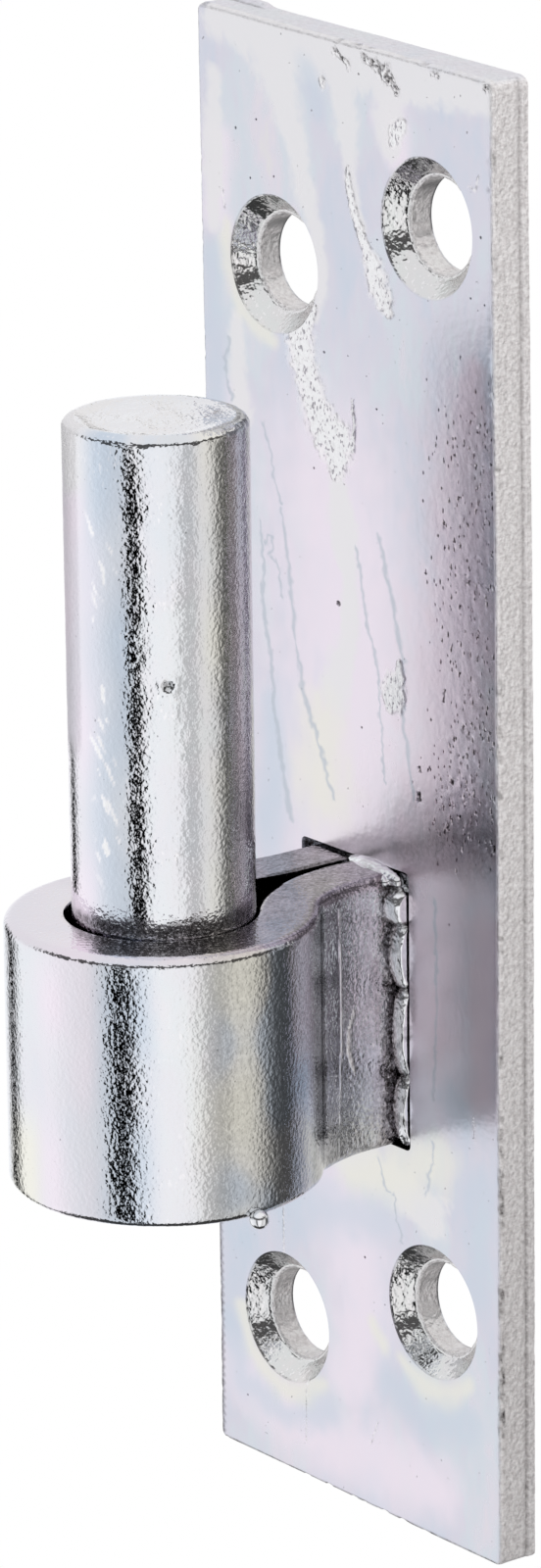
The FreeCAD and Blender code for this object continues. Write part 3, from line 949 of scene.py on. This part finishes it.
def sink_relief(cone, depth, share):
    """How far a ring of a countersink stands off its cone, with its marks: drill marks and a torn burr."""
    shape = np.column_stack([cone[:, 0], np.full(HOLE_STEPS, share * depth), cone[:, 1]])
    bumps = grain(shape, 0.35, 41) * 0.026 + grain(shape, 1.5, 42) * 0.014
    bumps *= min(1, share * 3, (1 - share) * 3)
    bumps += BURR_HEIGHT * step_between(share, 0.84, 0.95)
    bumps += grain(shape, 0.5, 43) * BURR_RAGGEDNESS * step_between(share, 0.8, 0.9)
    marks = {"grainy": 0.6 - 0.4 * share ** 4, "polish": 0.95, "warm": 0.5}
    marks["torn"] = step_between(share, 0.82, 0.96) * 0.8
    return bumps, {label: np.full(HOLE_STEPS, mark) for label, mark in marks.items()}


# Where the shears left the plate's rim out of square: how wide the rim is that moves, and how far it
# moves out at the left, further out at the upper left, in at the upper right, and up at the top left
RIM_WIDTH = 2.6
LEFT_BULGE = 0.36
UPPER_LEFT_BULGE = 0.3
UPPER_RIGHT_PULL = 0.4
TOP_LEFT_RISE = 0.8


def out_of_square(points):
    """Moves the rim of the plate to where the shears cut it."""
    x, z = points[:, 0], points[:, 2]
    middle = np.array([x, z]).T
    inside = -rectangle_distance(middle, *PLATE_SIZE, PLATE_MIDDLE, PLATE_CORNER_ROUND)
    rim = step_between(inside, RIM_WIDTH, 0.0)
    left = (PLATE_HIGH[0] - x) / PLATE_SIZE[0]
    upper = step_between(z, 5.0, 50.0)
    moved = points.copy()
    upper_shift = UPPER_LEFT_BULGE * left + UPPER_RIGHT_PULL * (1 - left)
    moved[:, 0] -= rim * (LEFT_BULGE * left + upper * upper_shift)
    moved[:, 2] += rim * step_between(z, 42.0, 50.0) * TOP_LEFT_RISE * left
    return moved


def split_loops(numbers, loops):
    """The point numbers of each loop at the start of a filled face."""
    rings, start = [], 0
    for loop in loops:
        rings.append(numbers[start:start + len(loop)])
        start += len(loop)
    return rings


def arc(centre, radius, start, end, step):
    """Points along an arc, angles in degrees."""
    count = max(2, math.ceil(abs(math.radians(end - start)) * radius / step))
    angles = np.radians(np.linspace(start, end, count + 1))
    return np.array(centre) + radius * np.column_stack([np.cos(angles), np.sin(angles)])


def strap_path_half(leg, step=0.1):
    """The middle line of the strap from the front of the eye to the end of one leg."""
    side, lean = leg["side"], math.radians(leg["lean"])
    middle_radius = BORE_RADIUS + STRAP_THICKNESS / 2
    eye_radius = BORE_RADIUS + STRAP_THICKNESS
    leg_face_x = side * (leg["inner_x"] - EYE_CENTRE[0]) + STRAP_THICKNESS
    bend_x = leg_face_x + leg["second"] * (1 - math.cos(lean)) + leg["run"] * math.sin(lean)
    bend_x += leg["first"] * math.cos(lean)
    reach = eye_radius + leg["first"]
    wrap = math.acos(bend_x / reach)
    wrap_degrees = math.degrees(wrap)

    first_centre = (reach * math.cos(wrap), reach * math.sin(wrap))
    first_radius = leg["first"] + STRAP_THICKNESS / 2
    second_radius = leg["second"] + STRAP_THICKNESS / 2
    ring = arc((0, 0), middle_radius, -90, wrap_degrees, step)
    first = arc(first_centre, first_radius, 180 + wrap_degrees, 180 + leg["lean"], step)
    run = first[-1] + leg["run"] * np.array([-math.sin(lean), math.cos(lean)])
    out = np.array([math.cos(lean), math.sin(lean)])
    second = arc(run + out * second_radius, second_radius, 180 + leg["lean"], 180, step)
    end = np.array([[second[-1][0], LEG_END_Y - EYE_CENTRE[1]]])
    half = np.vstack([ring, first[1:], run[None], second[1:], end])
    return half * np.array([side, 1]) + np.array(EYE_CENTRE)


def strap_section():
    """The strip's cross-section about its middle: depth outward and height."""
    half, thick = STRAP_WIDTH / 2, STRAP_THICKNESS / 2
    inner, outer = BORE_EDGE_ROUND, OUTER_EDGE_ROUND
    step = 0.12
    return np.vstack([
        arc((inner - thick, inner - half), inner, 180, 270, step),
        arc((thick - outer, outer - half), outer, 270, 360, step),
        arc((thick - outer, half - outer), outer, 0, 90, step),
        arc((inner - thick, half - inner), inner, 90, 180, step),
    ])


def poly_curves(name, paths, closed=False):
    """A curve object with a straight-sided run for each path: its points in millimetres and its radius."""
    data = bpy.data.curves.new(name, "CURVE")
    data.dimensions = "3D"
    for points, radius in paths:
        spline = data.splines.new("POLY")
        spline.points.add(len(points) - 1)
        flat = np.column_stack([np.asarray(points) * MM, np.ones(len(points))])
        spline.points.foreach_set("co", flat.ravel())
        spline.points.foreach_set("radius", np.full(len(points), radius))
        spline.use_cyclic_u = closed
    return linked(bpy.data.objects.new(name, data))


def geometry_tree(name, inputs):
    """An empty geometry tree with its inputs: (name, socket type, starting value)."""
    group = bpy.data.node_groups.new(name, "GeometryNodeTree")
    group.interface.new_socket("Geometry", in_out="INPUT", socket_type="NodeSocketGeometry")
    group.interface.new_socket("Geometry", in_out="OUTPUT", socket_type="NodeSocketGeometry")
    for label, kind, start in inputs:
        socket = group.interface.new_socket(label, in_out="INPUT", socket_type=kind)
        if start is not None:
            socket.default_value = start
    return group, Tree(group)


def made_by(group, source, name, settings):
    """Runs a geometry tree on an object and gives the result as a plain mesh object."""
    modifier = source.modifiers.new(group.name, "NODES")
    modifier.node_group = group
    for item in group.interface.items_tree:
        if item.in_out == "INPUT" and item.name in settings:
            modifier[item.identifier] = settings[item.name]
    bpy.context.view_layer.update()
    evaluated = source.evaluated_get(bpy.context.evaluated_depsgraph_get())
    mesh = bpy.data.meshes.new_from_object(evaluated)
    source.modifiers.remove(modifier)
    bpy.data.objects.remove(source)
    mesh.name = name
    return bpy.data.objects.new(name, mesh)


def grain_offset(tree, depth, size, seed):
    """A push along the normal by noise, with patches about as wide as size."""
    position = tree.add("GeometryNodeInputPosition")
    sockets = {"Vector": position, "W": seed, "Scale": 1 / size, "Detail": 2.0}
    swell = tree.add("ShaderNodeTexNoise", {"noise_dimensions": "4D"}, sockets, "Fac")
    normal = tree.add("GeometryNodeInputNormal")
    amount = (swell - 0.5) * depth
    return tree.add("ShaderNodeVectorMath", {"operation": "SCALE"}, {0: normal, "Scale": amount})


def painted_result(tree, entry, geometry):
    """Ends a tree: plain geometry with the material of its Material input."""
    plain = tree.add("GeometryNodeRealizeInstances", None, {"Geometry": geometry})
    sockets = {"Geometry": plain, "Material": entry.output("Material")}
    painted = tree.add("GeometryNodeSetMaterial", None, sockets)
    tree.add("NodeGroupOutput", None, {"Geometry": painted})


def strap_tree():
    """Sweeps the section along the path and hammers the surface a little."""
    group, tree = geometry_tree("strap_sweep", [
        ("Section", "NodeSocketObject", None),
        ("Step", "NodeSocketFloat", 0.2 * MM),
        ("Grain Depth", "NodeSocketFloat", 0.03 * MM),
        ("Grain Size", "NodeSocketFloat", 1.6 * MM),
        ("Seed", "NodeSocketFloat", 2.0),
        ("Material", "NodeSocketMaterial", None),
    ])
    entry = tree.add("NodeGroupInput", output="Geometry")
    step = entry.output("Step")

    def resampled(curve):
        return tree.add("GeometryNodeResampleCurve", {"mode": "LENGTH"}, {"Curve": curve, "Length": step})

    section = tree.add("GeometryNodeObjectInfo", None, {"Object": entry.output("Section")}, "Geometry")
    upright = tree.add("GeometryNodeSetCurveNormal", {"mode": "Z_UP"}, {"Curve": resampled(entry)})
    sockets = {"Curve": upright, "Profile Curve": resampled(section), "Fill Caps": True}
    swept = tree.add("GeometryNodeCurveToMesh", None, sockets)
    depth, size, seed = (entry.output(name) for name in ("Grain Depth", "Grain Size", "Seed"))
    offset = grain_offset(tree, depth, size, seed)
    hammered = tree.add("GeometryNodeSetPosition", None, {"Geometry": swept, "Offset": offset})
    painted_result(tree, entry, hammered)
    return group


# The legs are taller than the eye by a share of its height, the left one leans right at its end, and its
# upper edges are steeper
LEG_SWELL = 0.047
LEFT_LEG_SHIFT = 0.3
LEFT_LEG_SHARPENING = 0.6
# A scored line and a curved tool mark on the right leg's outer face: y, z and half width along each
LEG_MARKS = [
    [(-8.05, -5.6, 0.09), (-7.9, -14.0, 0.1), (-8.45, -22.6, 0.07)],
    [(-6.6, -12.9, 0.09), (-7.15, -14.2, 0.18), (-7.2, -15.6, 0.17), (-6.6, -17.2, 0.1)],
]


def strap_marks(points):
    """The marks on the strap by attribute, from places in millimetres."""
    x, y, z = points.T
    outer_side = step_between(x, 3.4, 3.9)
    flat_leg = outer_side * step_between(y, -8.6, -7.6)
    neck = outer_side * step_between(y, -14.6, -13.0)
    turn = np.degrees(np.arctan2(y - EYE_CENTRE[1], x - EYE_CENTRE[0]))
    eye = step_between(y, -13.0, -15.0)
    cloudy = grain(points, np.array([3.0, 3.0, 6.0]), 52)
    patchy = eye * step_between(grain(points, 2.0, 53), -0.1, 0.4) * 0.35
    clumps = grain(points, np.array([0.6, 0.6, 1.8]), 51)
    # Painted shadow on the right leg's outer face beside the weld
    weld_side_shadow = step_between(y + clumps * 0.8, -5.6, -3.4) * flat_leg
    on_top = step_between(z - STRAP_CENTRE_Z - STRAP_WIDTH / 2, -0.6, -0.2)
    shade = on_top * step_between(y, -22.0, -12.0) * (0.42 + clumps * 0.2)
    # Painted shade in the gap between the legs
    between = step_between(np.abs(x + 0.1), 0.9, 0.5) * step_between(y, -12.5, -11.0)
    marked = stroke_mask(points[:, 1:], LEG_MARKS, 0.5, clumps * 0.5)
    # Darker right leg face towards the plate: painted shade of the pocket between eye and plate, and
    # duller thinner zinc in it
    leg_grime_and_shade = neck * (0.4 + clumps * 0.15 - flat_leg * 0.08) * (1 - marked)
    # Painted shade on the right and back of the eye
    far_side_shade = (step_between(turn, -30, -14) * 0.24 + step_between(turn, 14, 34) * 0.05) * eye
    dirt = np.maximum.reduce([weld_side_shadow * 0.75, leg_grime_and_shade, shade, between * 0.9, far_side_shade])
    low_warm = band(turn, -120, -108, -96, -84) * step_between(z, -15.0, -19.0)
    left_cool = band(turn, -66, -56, -46, -36)
    right_cool = step_between(turn, -24, -8) * step_between(cloudy, 0.05, -0.3) * 0.9
    return {
        "dirt": dirt,
        "torn": marked * flat_leg,
        "grainy": flat_leg * 0.9 + band(turn, -64, -58, -24, -12) * patchy,
        "matt": flat_leg * 0.3,
        "cool": eye * np.maximum(left_cool * (0.6 + cloudy * 0.6), right_cool),
        "rose": band(turn, -100, -76, -68, -56) * eye * (0.5 + cloudy * 0.7),
        "warm": eye * (band(turn, -32, -16, 0, 14) * (0.6 + cloudy) + low_warm),
        "mauve": weld_side_shadow * 0.5 + on_top * 0.4,
    }


def swollen_legs(points):
    """Makes the legs taller towards the plate, leans the left one and sharpens its upper edges."""
    x, y, z = points.T
    half = STRAP_WIDTH / 2
    above = z - STRAP_CENTRE_Z
    weight = step_between(y, -14.5, -9.0)
    left = step_between(x, -0.1, -0.5) * weight
    sharpened = above + LEFT_LEG_SHARPENING * np.maximum(above - half + OUTER_EDGE_ROUND, 0) * left
    swollen = points.copy()
    swollen[:, 0] = x + LEFT_LEG_SHIFT * left
    swollen[:, 2] = STRAP_CENTRE_Z + np.minimum(sharpened, half) * (1 + LEG_SWELL * weight)
    return swollen


def strap(material):
    """The strap: one strip rolled into the eye, with its two ends as legs."""
    left, right = strap_path_half(LEFT_LEG), strap_path_half(RIGHT_LEG)
    flat = np.vstack([left[::-1], right[1:]])
    middle_line = np.column_stack([flat, np.full(len(flat), STRAP_CENTRE_Z)])
    path = poly_curves("strap_path", [(middle_line, 1.0)])
    outline = strap_section()
    outline = np.column_stack([outline, np.zeros(len(outline))])
    section = poly_curves("strap_section", [(outline, 1.0)], closed=True)
    piece = made_by(strap_tree(), path, "strap", {"Section": section, "Material": material})
    bpy.data.objects.remove(section)
    points = swollen_legs(mesh_points(piece))
    piece.data.vertices.foreach_set("co", (points * MM).ravel())
    set_marks(piece.data, strap_marks(points))
    return finished(piece, material, 50.0)


# Pin: a knock in its side, and a band of short scratches, by turn in degrees and height
PIN_DENT = (-32.0, 12.3)
PIN_DENT_RADIUS = 0.5
PIN_DENT_DEPTH = 0.22
SCRATCH_TURN = -75.0
SCRATCH_HEIGHTS = (-1.0, 23.0)
PIN_RIM = 0.7
PIN_STEPS = 240
PIN_ROWS = 300
PIN_TOP_RINGS = 33
PIN_TOP_DISH = 0.12


def pin_relief(turn, z, radius):
    """How far the pin's side stands out, with its marks, from turns in degrees and heights."""
    place = np.column_stack([radius * np.cos(np.radians(turn)), radius * np.sin(np.radians(turn)), z])
    across = np.radians(turn - PIN_DENT[0]) * radius
    from_dent = np.hypot(across, z - PIN_DENT[1])
    dent = step_between(from_dent + grain(place, 0.4, 61) * 0.1, PIN_DENT_RADIUS, 0.1)
    crater = step_between(from_dent, 0.9, PIN_DENT_RADIUS) - dent
    scored = step_between(np.abs(turn - SCRATCH_TURN - grain(place, 2.5, 62) * 12), 9, 4)
    low, high = SCRATCH_HEIGHTS
    scored *= band(z, low - 1, low + 1, high - 1, high + 1)
    slanted = place @ np.array([[1, 0, 0], [0, 1, 0], [0.5, 0, 0.6]])
    scratch = step_between(grain(slanted, np.array([0.42, 0.42, 0.8]), 63), 0.28, 0.42) * scored
    # Painted shade round the pin's foot, just above the eye
    foot = step_between(z + grain(place, 0.8, 64) * 0.5, -3.1, -3.9)
    relief = grain(place, 1.2, 65) * 0.015 - dent * PIN_DENT_DEPTH + crater * 0.05
    cloudy = grain(place, np.array([3.0, 3.0, 6.0]), 70)
    patchy = step_between(grain(place, 2.0, 71), -0.1, 0.4) * 0.5
    # Painted shade on the pin's right side
    far_side_shade = band(turn, 30, 38, 80, 100) * 0.45
    weathered = step_between(z + grain(place, 2.0, 66) * 2.0, 23.5, 26.0) * step_between(turn, -40, -60)
    near_edge = band(turn, -150, -135, -97, -90)
    marks = {
        "pale": weathered,
        "white": scratch,
        # Painted shade at the foot and on the right side, and a darkened dent
        "dirt": np.maximum.reduce([foot * 0.62, dent * 0.45, far_side_shade]),
        "cool": band(turn, -100, -70, -60, -48) * (0.7 + cloudy * 0.8),
        "rose": step_between(turn, -64, -90) * (0.55 - cloudy * 0.8),
        "warm": band(turn, -18, -4, 12, 26) * (0.5 + cloudy * 0.6),
        "matt": near_edge * step_between(z + grain(place, 2.0, 72) * 4.0, 3.0, 10.0),
        "grainy": weathered * 0.4 + band(turn, -64, -58, -28, -16) * patchy,
    }
    return relief, marks


def pin(material):
    """The pin: a turned bar with a rounded rim, a dished top, a dent and scratches."""
    radius = (PIN_HIGH[0] - PIN_LOW[0]) / 2
    top, foot = PIN_HIGH[2], PIN_LOW[2]
    angles = np.arange(PIN_STEPS) * math.tau / PIN_STEPS
    turns = (np.degrees(angles) + 180) % 360 - 180
    outward = np.column_stack([np.cos(angles), np.sin(angles), np.zeros(PIN_STEPS)])
    middle = np.array([0.0, EYE_CENTRE[1], 0.0])
    upward = np.array([0.0, 0.0, 1.0])
    points, rings, marks = [], [], []

    def add(ring, mark):
        rings.append(np.arange(PIN_STEPS) + len(rings) * PIN_STEPS)
        points.append(ring)
        marks.append(mark)

    for z in np.linspace(foot, top - PIN_RIM, PIN_ROWS):
        relief, mark = pin_relief(turns, np.full(PIN_STEPS, z), radius)
        add(middle + outward * (radius + relief)[:, None] + upward * z, mark)
    for angle in np.linspace(0.25, math.pi / 2, 6):
        reach = radius - PIN_RIM * (1 - math.cos(angle))
        z = top - PIN_RIM * (1 - math.sin(angle))
        relief, mark = pin_relief(turns, np.full(PIN_STEPS, z), radius)
        nicks = grain(outward * 6, 0.7, 67) * 0.08
        add(middle + outward * (reach + relief + nicks)[:, None] + upward * z, mark)
    for reach in np.linspace(radius - PIN_RIM, 0.2, PIN_TOP_RINGS + 1)[1:]:
        ring = middle + outward * reach
        dished = grain(ring, 3.0, 68) * 0.12 + grain(ring, 0.8, 69) * 0.02
        dished -= PIN_TOP_DISH * step_between(reach, radius - PIN_RIM, radius - PIN_RIM - 1.2)
        fade = step_between(reach, radius - PIN_RIM, radius - PIN_RIM - 0.5)
        mark = {"pale": np.full(PIN_STEPS, 0.7), "grainy": np.full(PIN_STEPS, 0.25)}
        add(ring + upward * (top + dished * fade)[:, None], mark)
    faces = ring_strips(rings) + [tuple(rings[-1]), tuple(rings[0][::-1])]
    return mesh_piece("pin", np.vstack(points), faces, material, 60.0, joined_marks(marks, points))


def joined_marks(marks, groups):
    """One array for each attribute, with 0 for the groups of points that lack it."""
    labels = {label for mark in marks for label in mark}
    attributes = {}
    for label in sorted(labels):
        columns = [mark.get(label, np.zeros(len(group))) for mark, group in zip(marks, groups)]
        attributes[label] = np.concatenate(columns)
    return attributes


# Runs of weld: where each starts and ends, and its radius. A fan of short runs covers the right leg's
# top, and the four runs below it shrink downwards.
FAN_ROOT = (-0.3, -3.0, -4.45)
RIGHT_WELD_RUNS = [
    (FAN_ROOT, (3.4, -4.3, -4.75), 0.5),
    (FAN_ROOT, (4.2, -3.75, -4.75), 0.6),
    (FAN_ROOT, (4.8, -3.2, -4.65), 0.7),
    ((4.6, -2.9, -5.7), (4.65, -2.85, -7.1), 1.2),
    ((4.8, -2.65, -7.8), (4.8, -2.6, -11.6), 1.15),
    ((4.9, -2.55, -12.4), (4.85, -2.5, -17.8), 1.1),
    ((4.9, -2.5, -18.4), (4.9, -2.5, -22.6), 1.05),
]
LEFT_WELD_RUNS = [
    ((-4.95, -2.8, -8.2), (-4.95, -2.8, -12.6), 0.95),
    ((-4.95, -2.75, -12.9), (-4.95, -2.75, -17.4), 0.95),
    ((-4.95, -2.75, -17.7), (-4.95, -2.75, -22.2), 0.85),
]
# How far out the weld's sides reach, and how far forward the fills under the runs
WELD_WALL = SLOT_WIDTH / 2 - 0.14
FILL_FRONT = -2.6
# Heights of the dirty seams between the runs
WELD_SEAMS = (-5.2, -7.5, -12.0, -18.1)


def weld_tree():
    """Swells each run of the curve into a lobe, joins the lobes and crumples their skin."""
    group, tree = geometry_tree("weld_bead", [
        ("Step", "NodeSocketFloat", 0.1 * MM),
        ("Voxel", "NodeSocketFloat", 0.09 * MM),
        ("Crumple Depth", "NodeSocketFloat", 0.3 * MM),
        ("Crumple Size", "NodeSocketFloat", 1.1 * MM),
        ("Wall", "NodeSocketFloat", 5.0 * MM),
        ("Seed", "NodeSocketFloat", 0.0),
        ("Material", "NodeSocketMaterial", None),
    ])
    entry = tree.add("NodeGroupInput", output="Geometry")
    step, voxel, depth, size, wall, seed = (
        entry.output(name) for name in ("Step", "Voxel", "Crumple Depth", "Crumple Size", "Wall", "Seed"))
    fine = tree.add("GeometryNodeResampleCurve", {"mode": "LENGTH"}, {"Curve": entry, "Length": step})
    share = tree.add("GeometryNodeSplineParameter", output="Factor")
    bulge = share.math("POWER", share.math("SINE", share * math.pi), 0.4)
    radius = tree.add("GeometryNodeInputRadius") * (bulge * 0.65 + 0.35)
    swollen = tree.add("GeometryNodeSetCurveRadius", None, {"Curve": fine, "Radius": radius})
    points = tree.add("GeometryNodeCurveToPoints", {"mode": "EVALUATED"}, {"Curve": swollen})
    sockets = {"Points": points, "Voxel Size": voxel, "Radius": tree.add("GeometryNodeInputRadius")}
    volume = tree.add("GeometryNodePointsToVolume", {"resolution_mode": "VOXEL_SIZE"}, sockets)
    sockets = {"Volume": volume, "Voxel Size": voxel}
    lobes = tree.add("GeometryNodeVolumeToMesh", {"resolution_mode": "VOXEL_SIZE"}, sockets)
    offset = grain_offset(tree, depth, size, seed)
    crumpled = tree.add("GeometryNodeSetPosition", None, {"Geometry": lobes, "Offset": offset})
    x = tree.add("ShaderNodeSeparateXYZ", None, {0: tree.add("GeometryNodeInputPosition")}, "X")
    inside = x.math("MAXIMUM", x.math("MINIMUM", x, wall), wall * -1.0)
    sockets = {"X": inside, "Y": x.output("Y"), "Z": x.output("Z")}
    place = tree.add("ShaderNodeCombineXYZ", None, sockets)
    pressed = tree.add("GeometryNodeSetPosition", None, {"Geometry": crumpled, "Position": place})
    painted_result(tree, entry, pressed)
    return group


def weld_runs(name, runs, material, seed):
    """One mesh of joined weld lobes."""
    source = poly_curves(name, [((start, end), radius * MM) for start, end, radius in runs])
    settings = {"Wall": WELD_WALL * MM, "Seed": seed, "Material": material}
    return made_by(weld_tree(), source, name, settings)


def bar(width, height, centre, corner, front, back):
    """Points and faces of a bar with rounded long edges, from front to back."""
    loop, _ = rounded_rectangle(width, height, centre, corner, 0.5)
    points, rings = [], []
    for y in (front, back):
        rings.append(list(range(len(points), len(points) + len(loop))))
        points += [(x, y, z) for x, z in loop]
    return points, ring_strips(rings) + [tuple(rings[0]), tuple(rings[1][::-1])]


def slot_weld(material):
    """The weld in the slot: flush fills behind and beside the legs, with the runs of bead in front."""
    slot_side = SLOT_WIDTH / 2
    slot_low = SLOT_CENTRE[1] - SLOT_HEIGHT / 2
    slot_high = SLOT_CENTRE[1] + SLOT_HEIGHT / 2
    floor_z = slot_low + 0.3
    leg_top = STRAP_CENTRE_Z + STRAP_WIDTH / 2
    fills = [
        (-slot_side, slot_side, slot_low, slot_high, LEG_END_Y, 0.0),
        (4.0, WELD_WALL, floor_z, leg_top + 0.4, FILL_FRONT, LEG_END_Y + 0.1),
        (-WELD_WALL, -4.2, floor_z, leg_top - 3.0, FILL_FRONT, LEG_END_Y + 0.1),
    ]
    points, faces = [], []
    for low_x, high_x, low_z, high_z, front, back in fills:
        centre = ((low_x + high_x) / 2, (low_z + high_z) / 2)
        corner = min(SLOT_CORNER_ROUND, (high_x - low_x) * 0.45)
        shape, sides = bar(high_x - low_x, high_z - low_z, centre, corner, front, back)
        faces += [tuple(number + len(points) for number in side) for side in sides]
        points += shape
    body = mesh_piece("slot_weld_metal", points, faces, material)
    beads = [
        weld_runs("right_beads", RIGHT_WELD_RUNS, material, 3.0),
        weld_runs("left_beads", LEFT_WELD_RUNS, material, 8.0),
    ]
    piece = joined("slot_bead", [body] + beads, material, 60.0)
    set_marks(piece.data, {"dirt": weld_dirt_and_shade(mesh_points(piece))})
    return piece


def weld_dirt_and_shade(points):
    """Burnt patches, the seams between the runs and painted shade over the fan, on the weld's front alone.
    """
    uneven = grain(points, 0.5, 82) * 0.3
    burnt = step_between(grain(points, 1.1, 81) + uneven, 0.1, 0.45) * 0.4
    seam = np.zeros(len(points))
    for z in WELD_SEAMS:
        seam = np.maximum(seam, step_between(np.abs(points[:, 2] - z + uneven), 0.4, 0.1))
    fan = step_between(points[:, 2], -5.6, -5.0) * step_between(points[:, 0], 0.8, 1.6) * 0.2
    in_front = step_between(points[:, 1], LEG_END_Y, LEG_END_Y - 0.3)
    return np.maximum.reduce([burnt, seam * 0.7, fan]) * in_front


def joined(name, parts, material, sharp_angle):
    """One mesh object from several."""
    vertices, faces = [], []
    for part in parts:
        start = len(vertices)
        vertices += [tuple(vertex.co) for vertex in part.data.vertices]
        faces += [tuple(start + number for number in polygon.vertices) for polygon in part.data.polygons]
        bpy.data.objects.remove(part)
    mesh = bpy.data.meshes.new(name)
    mesh.from_pydata(vertices, [], faces)
    return finished(bpy.data.objects.new(name, mesh), material, sharp_angle)


def weld_material_pieces(material):
    """Gives the CAD's own weld pieces the weld's material."""
    for node in ("pin_weld", "weld_spatter"):
        piece = frame["nodes"][node]
        piece.data.materials.clear()
        piece.data.materials.append(material)


camera()
studio()
side_lamp()
floor()

plate_piece = plate(zinc("plate_zinc", gain=1.07, roughness=0.26, grain_size=0.5, grain_depth=0.012))
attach(plate_piece, "root")
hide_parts("mounting_plate")

# The strap and the pin have the same bright finish, with a thinner film than the plate's
BRIGHT = {"gain": 1.13, "roughness": 0.05, "grain_size": 0.27, "film": 0.5}

strap_piece = strap(zinc("strap_zinc", grain_depth=0.037, **BRIGHT))
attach(strap_piece, "root")
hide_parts("eye_strap")

pin_piece = pin(zinc("pin_zinc", grain_depth=0.036, **BRIGHT))
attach(pin_piece, "root")
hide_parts("hinge_pin")

weld_zinc = zinc("weld_zinc", gain=1.2, roughness=0.16, grain_size=0.9, grain_depth=0.035, film=0.3)
bead_piece = slot_weld(weld_zinc)
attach(bead_piece, "root")
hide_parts("slot_weld")
weld_material_pieces(weld_zinc)

bpy.context.scene.view_settings.view_transform = "Standard"
